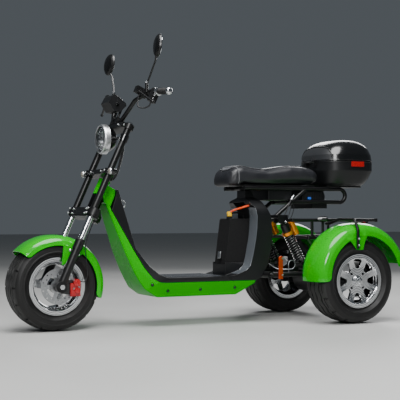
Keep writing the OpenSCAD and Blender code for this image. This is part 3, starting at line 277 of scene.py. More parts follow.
# Satin ABS for the mirrors, and polished ABS for the lamp shells
satin_abs = finish("satin_black_abs", "gloss_black", ("#060607", "#0C0D0E"), (0.3, 0.4), 30, 0.02)[0]
gloss_abs = finish(
    "gloss_black_abs", "gloss_black", ("#060607", "#0C0D0E"), (0.1, 0.18), 30, 0.06, Coat_Weight=0.5
)[0]
soft_rubber = finish(
    "black_rubber", "rubber", ("#070708", "#0D0D0E"), (0.5, 0.65), 5, 0.2, Specular_IOR_Level=0.4
)[0]
# The floor mat is shinier than the other rubber, and its grey tones are a painted sheen from above on black
# rubber
mat_rubber_painted_sheen = finish(
    "black_rubber_painted_grey_sheen", "rubber", ("#3A3D41", "#4A4D52"), (0.28, 0.4), 8, 0.2, patch_mm=60
)[0]
print("paints, plastics and rubbers ready")

# %% [markdown]
# Tyre rubber is a dark grey that road dust lightens on the sidewalls, so a second, finer noise mixes a
# brown-grey film over it.

# %% Tyre rubber
FILM_MM = 14
tyre_rubber, tree, shader, place, colour, _ = finish(
    "tyre_rubber", "tyre", ("#070707", "#0C0C0C"), (0.46, 0.62), 6, 0.3, patch_mm=60, Specular_IOR_Level=0.4
)
film = add(
    tree, "ShaderNodeTexNoise",
    {"Vector": place, "Scale": 1 / (FILM_MM * MM), "Detail": 6.0, "Roughness": 0.7},
)
amount = remap(tree, film.outputs["Fac"], 0.45, 0.75, 0.0, 0.3)
tree.links.new(blend(tree, amount, colour, linear("#22211F")), shader.inputs["Base Color"])
# The tops of the tread are a lighter grey than its grooves and the sidewalls
pale_tread_rubber = finish(
    "pale_tread_top_rubber", "tyre", ("#1A1A1A", "#242423"), (0.55, 0.7), 6, 0.3, patch_mm=60
)[0]
print("tyre rubber ready")

# %% [markdown]
# Metals differ by how they were finished. A rim is cast and then turned on a lathe, which leaves fine
# rings round the axle: the distance from the axle drives a wave. The bright plated parts only need a few
# smudges.

# %% Metals
satin_chrome = finish(
    "satin_chrome_plate", "chrome", ("#D4D6D8", "#E4E6E8"), (0.3, 0.4), 30, 0.03, Metallic=1.0
)[0]
chrome = finish(
    "bright_chrome_plate", "chrome", ("#D0D3D5", "#E0E2E4"), (0.08, 0.14), 40, 0.004, Metallic=1.0
)[0]
steel = finish("ground_steel", "steel", ("#A8AAAC", "#BCBEC0"), (0.26, 0.36), 4, 0.06, Metallic=1.0)[0]
gold_anodised = finish(
    "golden_anodised_aluminium", "orange_anodised", ("#DA7A06", "#EE9A16"), (0.24, 0.32), 5, 0.05,
    Metallic=0.7, Coat_Weight=0.3,
)[0]
orange_anodised = finish(
    "orange_anodised_aluminium", "orange_anodised", ("#B43206", "#CE480C"), (0.24, 0.32), 5, 0.05,
    Metallic=0.6, Coat_Weight=0.3,
)[0]
caliper_paint = finish(
    "red_brake_enamel", "red_paint", ("#98040A", "#B0080E"), (0.22, 0.3), 6, 0.1, Coat_Weight=0.6
)
repaint(caliper_paint, from_axle(WHEEL_BASE - 71, 108, 150), from_axle(WHEEL_BASE, 116, 280), BLACKS[1])
red_enamel = caliper_paint[0]
RING_MM = 8


def turned_aluminium(name, axle_x, axle_z):
    """Aluminium with lathe rings round an axle that lies along y."""
    parts = finish(name, "alloy", ("#D6D8DA", "#E6E7E8"), (0.13, 0.21), 6, 0.03, Metallic=1.0)
    _, tree, shader, place, _, bump = parts
    centred = add(
        tree, "ShaderNodeMapping", {"Vector": place, "Location": (-axle_x, 0, -axle_z)}, vector_type="POINT"
    )
    flat = vectors(tree, "MULTIPLY", centred.outputs["Vector"], (1, 0, 1))
    radius = vectors(tree, "LENGTH", flat, out="Value")
    ring = maths(tree, "SINE", maths(tree, "MULTIPLY", radius, 2 * math.pi / (RING_MM * MM)))
    rings = add(
        tree, "ShaderNodeBump",
        {"Height": ring, "Distance": 0.3 * MM, "Strength": 0.5, "Normal": bump.outputs["Normal"]},
    )
    tree.links.new(rings.outputs["Normal"], shader.inputs["Normal"])
    return parts


front_parts = turned_aluminium("front_rim_turned_aluminium", (WHEEL_BASE - MID_X) * MM, FRONT_AXLE_Z * MM)
# Behind the brake disc the hub is painted dark
HUB_R = 60
hub_low = from_axle(WHEEL_BASE - HUB_R, 50, FRONT_AXLE_Z - HUB_R)
hub_high = from_axle(WHEEL_BASE + HUB_R, 99, FRONT_AXLE_Z + HUB_R)
repaint(front_parts, hub_low, hub_high, "#141619")
front_alloy = front_parts[0]
# Between their machined face and their inner lip the rear rims are painted dark
rear_parts = turned_aluminium("rear_rim_turned_aluminium", -MID_X * MM, REAR_AXLE_Z * MM)
for side in (1, -1):
    low, high = sorted((side * (HALF_TRACK - 76), side * (HALF_TRACK + 51)))
    repaint(rear_parts, from_axle(-300, low, 0), from_axle(300, high, 500), "#17181A")
rear_alloy = rear_parts[0]
print("metals ready")

# %% [markdown]
# Lenses: a reflector is a moulding whose back is a field of small prisms, drawn here as cells. The head
# lamp's glass is clear, and the indicators' lenses are smoked, with the same prisms.

# %% Lenses and mirrors
PRISM_MM = 7


def prism_lens(name, slot, tones):
    material, tree, shader, place, _, _ = finish(
        name, slot, tones, (0.08, 0.14), 20, 0.02, Coat_Weight=1.0
    )
    cells = add(
        tree, "ShaderNodeTexVoronoi", {"Vector": place, "Scale": 1 / (PRISM_MM * MM), "Randomness": 0.0}
    )
    prisms = add(
        tree, "ShaderNodeBump", {"Height": cells.outputs["Distance"], "Distance": 2 * MM, "Strength": 0.7}
    )
    tree.links.new(prisms.outputs["Normal"], shader.inputs["Normal"])
    return material


red_lens = prism_lens("red_prism_reflector", "red_lens", ("#860808", "#B00E0E"))
smoked_lens = prism_lens("smoked_indicator_lens", "clear_lens", ("#77716A", "#8E877E"))
clear_glass = finish(
    "clear_lamp_glass", "clear_lens", ("#262C32", "#30373E"), (0.02, 0.05), 60, 0.005, Alpha=0.35
)[0]
dark_display = finish(
    "dark_display_glass", "display_glass", ("#0A0D10", "#12181C"), (0.05, 0.1), 30, 0.02, Coat_Weight=1.0
)[0]
mirror_silver = finish(
    "silvered_mirror", "mirror", ("#DADFE2", "#E6EAEC"), (0.01, 0.04), 60, 0.01, Metallic=1.0
)[0]
print("lenses ready")

# %% [markdown]
# The battery is wrapped in a black needle-felt cover. The high-voltage lead has an orange jacket, and its
# plug and the small connectors are coloured nylon.

# %% Felt, jackets and nylon
felt = finish(
    "black_needle_felt", "black_plastic", ("#040405", "#0B0B0C"), (0.7, 0.85), 7, 0.6,
    patch_mm=16, Specular_IOR_Level=0.3,
)[0]
orange_jacket = finish(
    "orange_cable_jacket", "orange_cable", ("#D6400C", "#E8551A"), (0.35, 0.5), 8, 0.15
)[0]
black_jacket = finish("black_cable_jacket", "rubber", ("#101012", "#18181B"), (0.36, 0.5), 8, 0.15)[0]
yellow_nylon = finish("yellow_nylon", "black_plastic", ("#D9A90C", "#E8BC20"), (0.35, 0.45), 6, 0.1)[0]
blue_nylon = finish("blue_nylon", "black_plastic", ("#1A4FA8", "#2460C0"), (0.35, 0.45), 6, 0.1)[0]
print("felt, jackets and nylon ready")

# %% [markdown]
# The top case has a moulded grain at its front, and a polished dome behind the ridge that crosses its lid.
# The polish is a mask by place: inside it the roughness falls.

# %% Lid of the top case
RIDGE_X = -26
DOME = from_axle(-500, -300, 860), from_axle(RIDGE_X, 300, 1100)
lid_parts = finish(
    "black_lid_abs", "gloss_black", ("#1A1B1D", "#232528"), (0.4, 0.5), 5, 0.05, Coat_Weight=0.3
)
repaint(lid_parts, *DOME, "#08090A")
lid_abs, tree, shader, place, _, _ = lid_parts
dome = inside_box(tree, place, *DOME)
tree.links.new(remap(tree, dome, to_low=0.5, to_high=0.25), shader.inputs["Roughness"])
print("lid finish ready")

# %% [markdown]
# Now each solid of the frame gets its finish.

# %% Finishes for the CAD solids
DRESS = {
    green_enamel: ["frame"],
    fender_enamel: ["rear_fenders", "front_fender"],
    head_enamel: ["head_tube"],
    black_coat: [
        "rear_subframe", "swing_arm", "shock_dampers", "shock_springs", "fender_stays", "luggage_rack",
        "fork_crowns", "fork_upper_tubes", "fork_sliders", "handlebar", "brake_levers", "case_plate",
        "case_hinge", "seat_pan",
    ],
    charcoal_abs: [
        "inner_panel", "seat_box", "electrics_boxes", "drive_unit", "case_base", "instrument",
        "switch_pods", "seat",
    ],
    lid_abs: ["case_lid"],
    satin_abs: ["mirrors"],
    gloss_abs: ["headlamp_shell", "front_indicators", "rear_indicators"],
    soft_rubber: ["grips"],
    mat_rubber_painted_sheen: ["floor_mat"],
    tyre_rubber: ["front_tyre", "rear_tyre_left", "rear_tyre_right"],
    chrome: ["fork_inner_tubes", "front_axle"],
    satin_chrome: ["headlamp_bezel"],
    steel: ["front_disc"],
    gold_anodised: ["shock_reservoirs"],
    orange_anodised: ["suspension_links"],
    red_enamel: ["front_caliper"],
    red_lens: ["tail_lamp", "case_reflectors"],
    clear_glass: ["headlamp_lens"],
    dark_display: ["instrument_glass"],
    mirror_silver: ["mirror_glass"],
    felt: ["battery"],
    front_alloy: ["front_rim"],
    rear_alloy: ["rear_rim_left", "rear_rim_right"],
    orange_jacket: ["battery_lead"],
    black_jacket: ["brake_hose", "control_loom", "rear_cable"],
}
SKIN = {}
for material, names in DRESS.items():
    for name in names:
        SKIN[name] = material
        slots = nodes[name].data.materials
        if slots:
            slots[0] = material
        else:
            slots.append(material)
print(len(SKIN), "of", len(nodes), "solids dressed")

# %% [markdown]
# Many pieces follow a line: hoses, beads, seams and springs. A route of a few corners is eased, so that it
# bends as a real hose does, and is then divided into equal steps.

# %% Lines
def eased(points, rounds=3):
    """A smooth line along a route: each round cuts every corner at its quarter points."""
    for _ in range(rounds):
        line = [points[0]]
        for a, b in zip(points, points[1:]):
            line += [a.lerp(b, 0.25), a.lerp(b, 0.75)]
        points = line + [points[-1]]
    return points


def line_length(points):
    return sum((b - a).length for a, b in zip(points, points[1:]))


def resampled(points, count):
    """Points at equal steps along a line."""
    step, out, walked = line_length(points) / (count - 1), [points[0]], 0.0
    for a, b in zip(points, points[1:]):
        span = (b - a).length
        while len(out) < count - 1 and walked + span >= step * len(out):
            out.append(a.lerp(b, (step * len(out) - walked) / span))
        walked += span
    return out + [points[-1]]


print("line tools ready")

# %% [markdown]
# A piece is made as the only one selected, and is then handed to its body with its finish. A tube is drawn
# as a bevelled curve and turned into a mesh, so that its ribs and ends are real faces.

# %% Pieces and tubes
TUBE_ANGLE = math.radians(50)  # Faces of a tube that meet at less than this shade as one curve


def settle(piece, name, material, body):
    """Names a finished piece, gives it its finish, and hands it to the body that carries it."""
    piece.name = piece.data.name = name
    piece.data.materials.clear()
    piece.data.materials.append(material)
    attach(piece, body)
    return piece


def clear():
    if bpy.context.object and bpy.context.object.mode != "OBJECT":
        bpy.ops.object.mode_set(mode="OBJECT")
    bpy.ops.object.select_all(action="DESELECT")


def activate(piece):
    """Links a new object and makes it the only one selected."""
    clear()
    bpy.context.scene.collection.objects.link(piece)
    bpy.context.view_layer.objects.active = piece
    piece.select_set(True)
    return piece


def tube_piece(line, diameter_mm, rib_mm=0.0, ring=False):
    """A round tube along a line, as a mesh. With rib_mm, every second ring is that much thinner."""
    curve = bpy.data.curves.new("tube", "CURVE")
    curve.dimensions = "3D"
    curve.bevel_depth = diameter_mm / 2 * MM
    curve.bevel_resolution = 3
    curve.use_fill_caps = not ring
    spline = curve.splines.new("POLY")
    spline.points.add(len(line) - 1)
    spline.use_cyclic_u = ring
    for i, (point, place) in enumerate(zip(spline.points, line)):
        point.co = (*place, 1)
        point.radius = 1 - (2 * rib_mm / diameter_mm) * (i % 2)
    activate(bpy.data.objects.new("tube", curve))
    bpy.ops.object.convert(target="MESH")
    bpy.ops.object.shade_smooth_by_angle(angle=TUBE_ANGLE)
    return bpy.context.object


print("tube tools ready")

# %% [markdown]
# Hoses and cables are flexible lengths that are held at both ends. Each is a round tube along an eased
# route. A ribbed sleeve is the same tube with a radius that swells and shrinks along its length. Four have
# a solid of their own: the front brake hose, the loom from the handlebar, the cable to the shock absorber
# and the battery's lead. Each of these repeats its solid's route, so it lies where the solid is.

# %% Hoses and cables
RIB_MM = 5  # From one rib of a sleeve to the next


def cable(name, route, diameter_mm, node, material, body, rib_pitch_mm=0.0):
    """A cord along a route. It stands for a solid where a node is named."""
    line = eased(route)
    length = line_length(line)
    count = round(length / (rib_pitch_mm * MM)) * 2 + 1 if rib_pitch_mm else 40
    piece = tube_piece(resampled(line, count), diameter_mm, 0.12 * diameter_mm if rib_pitch_mm else 0.0)
    settle(piece, name, material, body)
    if node:
        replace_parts(piece, node)
    resampled(line, 40)
    print(name, round(length, 3), "m")
    return line


hose_line = cable(
    "front_brake_hose",
    along(on_fork, (-32, 112, 365.7), (-34, 116, 238), (-60, 121, 191))
    + [from_axle(WHEEL_BASE + x, y, FRONT_AXLE_Z + z) for x, y, z in (
        (-143.3, 119, 58), (-140.3, 116, 43), (-138.4, 114, 33), (-132.9, 113, 25), (-124.7, 113, 19.6),
        (-115.3, 113, 18), (-105.3, 113, 18))],
    5.2, "brake_hose", black_jacket, "fork",
)
cable(
    "handlebar_loom_sleeve",
    along(on_fork, (-14, 76, 839.7), (-14, 76, 804), (-42, 76, 746), (-56, 68, 680), (-64, 60, 622),
          (-56, 54, 596)),
    16, "control_loom", black_jacket, "fork", RIB_MM,
)
shock_line = cable(
    "shock_cable",
    along(from_axle, (132.3, 60, 684), (160, 60, 684), (186, 112, 682), (226, 128, 640), (262, 130, 566),
          (268, 130, 552)),
    6, "rear_cable", black_jacket, "chassis",
)
cable(
    "battery_lead_sleeve",
    along(from_axle, (547, 32, 558.3), (547, 32, 582.3), (500, 86, 604), (462.5, 91, 614.6)),
    12, "battery_lead", orange_jacket, "chassis", RIB_MM,
)

# %% [markdown]
# Three thin cables show in the photo with no solid of their own: the loop from the left switches to the
# brake's master cylinder, and two signal wires that drop from the rear box to the rack and to a reservoir.

# %% Thin cables
cable(
    "switch_cable_loop",
    along(from_axle, (1106, 270, 1111), (1107, 262, 1094), (1125, 245, 1082), (1152, 216, 1088),
          (1148, 206, 1120), (1140, 205, 1155)),
    7, None, black_jacket, "fork",
)
cable(
    "rack_signal_wire",
    along(from_axle, (218, 99, 655), (217, 118, 640), (219, 123, 610), (230, 123, 570), (241, 122, 540)),
    3.5, None, black_jacket, "chassis",
)
cable(
    "reservoir_signal_wire",
    along(from_axle, (208, 99, 655), (206, 114, 640), (196, 119, 606), (204, 113, 568), (214, 104, 538)),
    3.5, None, black_jacket, "chassis",
)

# %% [markdown]
# Pieces that lie on a surface find it with rays. A ray gives the place that it meets and the direction that
# the surface faces there.

# %% Finding a surface
def surface_of(piece):
    mesh = piece.data
    return BVHTree.FromPolygons([v.co for v in mesh.vertices], [p.vertices for p in mesh.polygons])


def seat_on(node, spots, direction):
    """Where a ray from each place meets a solid, and the direction the solid faces there."""
    skin, found = surface_of(nodes[node]), []
    for spot in spots:
        place, normal, _, _ = skin.ray_cast(spot - direction * 0.2, direction)
        if place:
            found.append((place, normal if normal.dot(direction) < 0 else -normal))
    return found


def traced(surface, rays, lift_mm):
    """A line through the places where rays meet a surface, lifted off it that far."""
    hits = [surface.ray_cast(start, direction) for start, direction in rays]
    return [spot + normal * lift_mm * MM for spot, normal, _, _ in hits]


def over_arch(surface, middle, reach, start, span, lift_mm, steps=60):
    """A line across a surface from side to side, traced from an arch. Start and span are in half turns."""
    rays = []
    for i in range(steps + 1):
        a = math.pi * (start + span * i / steps)
        ray = Vector((0, math.cos(a), math.sin(a)))
        rays.append((middle + ray * reach, -ray))
    return traced(surface, rays, lift_mm)


print("surface tools ready")

# %% [markdown]
# Behind the seat box a braided brake hose comes out, loops up to leave room for the suspension's travel,
# and goes down to the swing arm. A ray cast onto each solid finds where its ends lie.

# %% Rear brake hose
# A wire braid, dark between its strands
wire_braid = finish(
    "braided_steel_wire", "steel", ("#6E7276", "#A6AAAE"), (0.3, 0.42), 4, 0.3, patch_mm=5, Metallic=0.9
)[0]
hose_start = seat_on("seat_box", [from_axle(380, 112, 308)], FORWARD)[0][0]
hose_end = seat_on("swing_arm", [from_axle(274, 187, 262)], -UP)[0][0]
hose_loop = along(
    from_axle, (350, 113, 308), (322, 128, 280), (296, 148, 276), (260, 166, 276), (240, 169, 276),
    (226, 172, 290), (226, 175, 310), (240, 178, 324), (260, 181, 324), (274, 184, 310), (274, 187, 290),
)
cable(
    "rear_brake_hose", [hose_start] + hose_loop + [hose_end], 5, None, wire_braid, "chassis",
)

# %% [markdown]
# Round pieces, from a tyre to a screw, are turned: a ring is extruded step by step along an outline. It is
# made about z, and then stood at its place with its axis in the right direction.

# %% Turned pieces
def choose(piece, kind, test):
    """In edit mode, selects just the faces or points that pass a test on their place and normal."""
    mesh = bmesh.from_edit_mesh(piece.data)
    bpy.ops.mesh.select_all(action="DESELECT")
    bpy.ops.mesh.select_mode(type="FACE" if kind == "faces" else "VERT")
    for part in getattr(mesh, kind):
        part.select_set(test(part.calc_center_median() if kind == "faces" else part.co, part.normal))
    bmesh.update_edit_mesh(piece.data)


def turned(profile, sides, closed=False):
    """A round piece about z: a circle is extruded ring by ring, each brought to its own radius."""
    clear()
    bpy.ops.mesh.primitive_circle_add(vertices=sides, radius=profile[0][0] * MM)
    piece = bpy.context.object
    bpy.ops.object.mode_set(mode="EDIT")
    bpy.ops.transform.translate(value=(0, 0, profile[0][1] * MM))
    for (r0, z0), (r1, z1) in zip(profile, profile[1:]):
        bpy.ops.mesh.extrude_edges_move(TRANSFORM_OT_translate={"value": (0, 0, (z1 - z0) * MM)})
        bpy.ops.transform.resize(value=(r1 / r0, r1 / r0, 1))
    bpy.ops.mesh.select_all(action="DESELECT")
    bpy.ops.mesh.select_mode(type="EDGE")
    bpy.ops.mesh.select_non_manifold(extend=False)
    if closed:
        bpy.ops.mesh.bridge_edge_loops()
    else:
        bpy.ops.mesh.edge_face_add()
    bpy.ops.mesh.select_all(action="SELECT")
    bpy.ops.mesh.normals_make_consistent(inside=False)
    bpy.ops.object.mode_set(mode="OBJECT")
    return piece


def stand(piece, place, axis):
    """Turns a piece made about z to face a direction, moves it to its place, and keeps both in its mesh."""
    piece.matrix_world = Matrix.Translation(place) @ axis.to_track_quat("Z", "Y").to_matrix().to_4x4()
    bpy.ops.object.transform_apply(location=True, rotation=True, scale=True)


print("turning tools ready")

# %% [markdown]
# The tyres carry a road tread. A ring of 160 points is extruded step by step along half a tyre's outline
# and on over the crown to the other bead, which gives neat strips of faces round the wheel. The middle
# grooves are then pushed from side to side to make them zigzag, and hooked runs of faces are sunk on the
# shoulders: along the tread, and then out to the sidewall.

# %% Tyres
TYRE_SIDES = 160
BEAD_R, RIM_HALF = 127, 87.5
CROWN = 7  # How much lower the shoulder lies than the middle of the tread
SHOULDER = 0.8  # Where the tread ends, as a share of half the tyre's width
HOOK_IN, HOOK_OUT = 0.72, 0.8  # Where a hook runs along the tread, as shares of the shoulder
GROOVE_MM, ZIGZAG_MM, HOOK_MM = 6, 4, 5
ZIGZAG_STEPS, HOOK_STEPS, HOOK_LONG = 8, 10, 7  # Counted in sides of the ring
TREAD_ANGLE = math.radians(28)


def tyre_profile(outer, half):
    """Radius and offset from one bead over the tread to the other, with five lines for each groove."""
    shoulder, belly, bead = SHOULDER * half, (outer + BEAD_R) / 2, RIM_HALF - 8
    side = [
        (BEAD_R, bead), (BEAD_R + 14, bead), (BEAD_R + 17, bead + 3), (BEAD_R + 22, bead + 4),
        (belly - 12, half - 1.5), (belly - 10, half + 0.4), (belly - 6, half + 0.4), (belly - 4, half - 0.8),
        (belly + 6, half), (belly + 12, half - 1), (belly + 14, half - 0.2), (belly + 22, half - 3),
        (outer - CROWN - 6, shoulder + 7), (outer - CROWN, shoulder),
        (outer - 0.64 * CROWN, HOOK_OUT * shoulder), (outer - 0.55 * CROWN, HOOK_IN * shoulder),
    ]
    tread = []
    for share in (0.5, 0.0, -0.5):
        y, r = share * shoulder, outer - CROWN * share**2
        tread += [(r, y + 5), (r - GROOVE_MM, y + 3.5), (r - GROOVE_MM, y - 3.5), (r, y - 5)]
        tread.append((outer - 0.06 * CROWN, y - 0.25 * shoulder))
    return [(r, -y) for r, y in side + tread[:-1]] + side[::-1]


def tyre(name, outer, half, place, body, node):
    piece = turned(tyre_profile(outer, half), TYRE_SIDES, closed=True)
    step = 2 * math.pi / TYRE_SIDES

    def turn(p):
        return math.atan2(p.y, p.x) / step

    bpy.ops.object.mode_set(mode="EDIT")
    for shift, start in ((ZIGZAG_MM, 0), (-ZIGZAG_MM, ZIGZAG_STEPS // 2)):
        choose(piece, "verts", lambda p, n: (
            p.xy.length > (outer - 9) * MM and abs(p.z) < 0.55 * half * MM
            and round(turn(p)) % ZIGZAG_STEPS in (start, start + 1, start + 2)))
        bpy.ops.transform.translate(value=(0, 0, shift * MM))
    shoulder = SHOULDER * half * MM
    choose(piece, "faces", lambda p, n: p.xy.length > (outer - 18) * MM and (
        HOOK_IN * shoulder < abs(p.z) < HOOK_OUT * shoulder
        and int(turn(p) + TYRE_SIDES) % HOOK_STEPS < HOOK_LONG
        or abs(p.z) > HOOK_OUT * shoulder and int(turn(p) + TYRE_SIDES) % HOOK_STEPS == 0))
    bpy.ops.mesh.extrude_region_shrink_fatten(TRANSFORM_OT_shrink_fatten={"value": -HOOK_MM * MM})
    bpy.ops.object.mode_set(mode="OBJECT")
    tread_tops = [
        face.index for face in piece.data.polygons if abs(face.center.z) < 1.05 * shoulder
        and face.center.xy.length > (outer - CROWN * (face.center.z / shoulder) ** 2 - 3) * MM
    ]
    stand(piece, place, LEFT)
    bpy.ops.object.shade_smooth_by_angle(angle=TREAD_ANGLE)
    settle(piece, name, tyre_rubber, body)
    piece.data.materials.append(pale_tread_rubber)
    for index in tread_tops:
        piece.data.polygons[index].material_index = 1
    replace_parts(piece, node)
    print(name, len(piece.data.polygons), "faces")


tyre("front_road_tyre", 219, 96, from_axle(WHEEL_BASE, 0, FRONT_AXLE_Z), "front_wheel", "front_tyre")
for side, name in ((1, "left"), (-1, "right")):
    axle = from_axle(0, side * HALF_TRACK, REAR_AXLE_Z)
    tyre(f"rear_road_tyre_{name}", 222, 99, axle, f"rear_wheel_{name}", f"rear_tyre_{name}")

# %% [markdown]
# No moulded, cast or folded piece has a knife edge. The angular solids are copied, their loose triangles
# are merged, and their edges are rounded with a small bevel, which is what catches the light on the real
# ones.

# %% Soft edges on the angular solids
BEVEL_ANGLE = math.radians(32)  # Edges sharper than this are rounded
CURVE_ANGLE = math.radians(20)  # Where none is rounded, faces that meet at less than this shade as a curve


def copy_of(node, name):
    """A copy of a solid's mesh with its loose triangles joined, as the active piece."""
    piece = activate(bpy.data.objects.new(name, nodes[node].data.copy()))
    bpy.ops.object.mode_set(mode="EDIT")
    bpy.ops.mesh.select_all(action="SELECT")
    bpy.ops.mesh.remove_doubles(threshold=0.01 * MM)
    bpy.ops.mesh.normals_make_consistent(inside=False)
    return piece


def softened(node, name, width_mm):
    """Rounds a copy's edges by that width. With none, it only shades the copy's curves as curves."""
    piece = copy_of(node, name)
    bpy.ops.mesh.dissolve_limited(angle_limit=math.radians(1 if width_mm else 0.2))
    bpy.ops.object.mode_set(mode="OBJECT")
    if width_mm:
        edge = piece.modifiers.new("soft", "BEVEL")
        edge.width = width_mm * MM
        edge.segments = 3
        edge.limit_method = "ANGLE"
        edge.angle_limit = BEVEL_ANGLE
        bpy.ops.object.modifier_apply(modifier=edge.name)
    bpy.ops.object.shade_smooth_by_angle(angle=BEVEL_ANGLE if width_mm else CURVE_ANGLE)
    even = piece.modifiers.new("even", "WEIGHTED_NORMAL")
    even.keep_sharp = True
    bpy.ops.object.modifier_apply(modifier=even.name)
    settle(piece, name, SKIN[node], BODY_OF[node])
    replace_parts(piece, node)
    print(name, len(piece.data.polygons), "faces")


# Each solid, the name of its piece, and the width of its rounded edges
for row in (
    ("frame", "folded_leg_shield_and_belly", 4), ("inner_panel", "moulded_inner_panel", 5),
    ("seat_box", "moulded_seat_box", 5), ("battery", "battery_in_felt", 6),
    ("electrics_boxes", "moulded_electrics_boxes", 4), ("instrument", "moulded_instrument", 5),
    ("switch_pods", "moulded_switch_pods", 3), ("fork_crowns", "cast_fork_crowns", 2.5),
    ("front_caliper", "cast_caliper", 5), ("suspension_links", "machined_links", 2),
    ("tail_lamp", "moulded_tail_lamp", 4), ("case_plate", "pressed_case_plate", 1.5),
    ("brake_levers", "cast_brake_levers", 3), ("fork_inner_tubes", "plated_fork_tubes", 0),
    ("fork_sliders", "cast_fork_sliders", 0), ("fork_upper_tubes", "drawn_fork_tubes", 0),
    ("handlebar", "bent_handlebar", 0), ("headlamp_bezel", "plated_lamp_bezel", 0),
    ("headlamp_shell", "pressed_lamp_shell", 0), ("mirrors", "moulded_mirrors", 0),
    ("front_fender", "moulded_front_fender", 0), ("rear_fenders", "moulded_rear_fenders", 0),
    ("front_rim", "cast_front_rim", 0), ("rear_rim_left", "cast_rear_rim_left", 0),
    ("rear_rim_right", "cast_rear_rim_right", 0), ("front_disc", "ground_brake_disc", 0),
    ("case_lid", "moulded_case_lid", 0), ("case_base", "moulded_case_base", 0),
    ("luggage_rack", "welded_rack", 0), ("fender_stays", "bent_stays", 0),
    ("rear_subframe", "welded_subframe", 0), ("swing_arm", "welded_swing_arm", 0),
    ("shock_dampers", "turned_dampers", 0), ("shock_reservoirs", "turned_reservoirs", 0),
    ("head_tube", "welded_head_tube", 0), ("drive_unit", "cast_drive_unit", 0),
):
    softened(*row)

# %% [markdown]
# The seat box is grained outside, and its mouth round the battery is polished, with a mid-grey colour that
# is a painted reflection on its black plastic. The faces of the mouth look forward, so their direction and
# place pick them out, and they take a second finish.

# %% Polished mouth of the seat box, with a painted reflection
MOUTH_BACK, MOUTH_FRONT, MOUTH_LOW, MOUTH_TOP = 434, 560, 258, 588
# The gloss is real; the mid-grey tones are painted reflection
gloss_abs_painted_reflection = finish(
    "gloss_abs_painted_grey_reflection", "black_plastic", ("#4A4F54", "#5C6166"), (0.1, 0.16), 30, 0.02, Coat_Weight=0.8
)[0]
seat_box = bpy.data.objects["moulded_seat_box"]
seat_box.data.materials.append(gloss_abs_painted_reflection)
mouth_low, mouth_high = from_axle(MOUTH_BACK, 0, MOUTH_LOW), from_axle(MOUTH_FRONT, 0, MOUTH_TOP)
mouth = [
    face for face in seat_box.data.polygons
    if face.normal.x > 0.25 and mouth_low.x < face.center.x < mouth_high.x
    and mouth_low.z < face.center.z < mouth_high.z
]
for face in mouth:
    face.material_index = 1
print(len(mouth), "polished faces")

# %% [markdown]
# The seat is foam under a stretched vinyl cover. The cover starts as a slightly smaller copy of the seat's
# solid, is remeshed into even squares, and is blown up a little as a cloth, which rounds it the way foam
# does. Its underside is held flat on the pan. The seams are laid on afterwards, because the remesh would
# wipe them out.

# %% Seat cover
SEAT_BOTTOM = 726
VOXEL_MM = 6
SHRINK_MM, SWELL_CAP_MM = 4, 7  # The blank is smaller by the one, and then grows by the other at most
HELD_MM = 8  # How far up its underside is held
PRESSURE, CLOTH_FRAMES = 4, 20
SEAT_PANEL = (312, 246, 88)  # Middle, half length and half width of the pale top panel


def seat_blank():
    piece = copy_of("seat", "seat_cover")
    bpy.ops.transform.shrink_fatten(value=-SHRINK_MM * MM)
    bpy.ops.object.mode_set(mode="OBJECT")
    piece.data.remesh_voxel_size = VOXEL_MM * MM
    bpy.ops.object.voxel_remesh()
    return piece


def inflate(piece, held_below, cap):
    """Blows a closed cover up as cloth. Points below a height stay, and none moves further than the cap."""
    before = [v.co.copy() for v in piece.data.vertices]
    held = piece.vertex_groups.new(name="held")
    held.add([v.index for v in piece.data.vertices if v.co.z < held_below], 1.0, "REPLACE")
    cloth = piece.modifiers.new("pressure", "CLOTH")
    cloth.settings.use_pressure = True
    cloth.settings.uniform_pressure_force = PRESSURE
    cloth.settings.effector_weights.gravity = 0
    cloth.settings.vertex_group_mass = "held"
    cloth.point_cache.frame_end = CLOTH_FRAMES
    for number in range(1, CLOTH_FRAMES + 1):
        bpy.context.scene.frame_set(number)
    bpy.ops.object.modifier_apply(modifier=cloth.name)
    bpy.context.scene.frame_set(1)
    for v, start in zip(piece.data.vertices, before):
        move = v.co - start
        if move.length > cap:
            v.co = start + move * (cap / move.length)
    piece.vertex_groups.clear()


def panel_place(p):
    """How far a point lies from the middle of the top panel: 1 on the panel's edge."""
    middle, half_x, half_y = SEAT_PANEL
    return (abs((p.x / MM + MID_X - middle) / half_x) ** 5 + abs(p.y / MM / half_y) ** 5) ** 0.2


seat_cover = seat_blank()
inflate(seat_cover, (SEAT_BOTTOM + HELD_MM) * MM, SWELL_CAP_MM * MM)
smooth = seat_cover.modifiers.new("even", "SMOOTH")
smooth.iterations = 6
bpy.ops.object.modifier_apply(modifier=smooth.name)
finer = seat_cover.modifiers.new("finer", "SUBSURF")
finer.levels = finer.render_levels = 1
bpy.ops.object.modifier_apply(modifier=finer.name)
bpy.ops.object.shade_smooth()
print("seat cover", len(seat_cover.data.polygons), "faces")

# %% [markdown]
# The cover is satin vinyl with a pressed leather grain. Its top panel has pin holes, drawn as the dark
# middles of cells, and its paler grey is a painted sheen from above on the same dark vinyl.

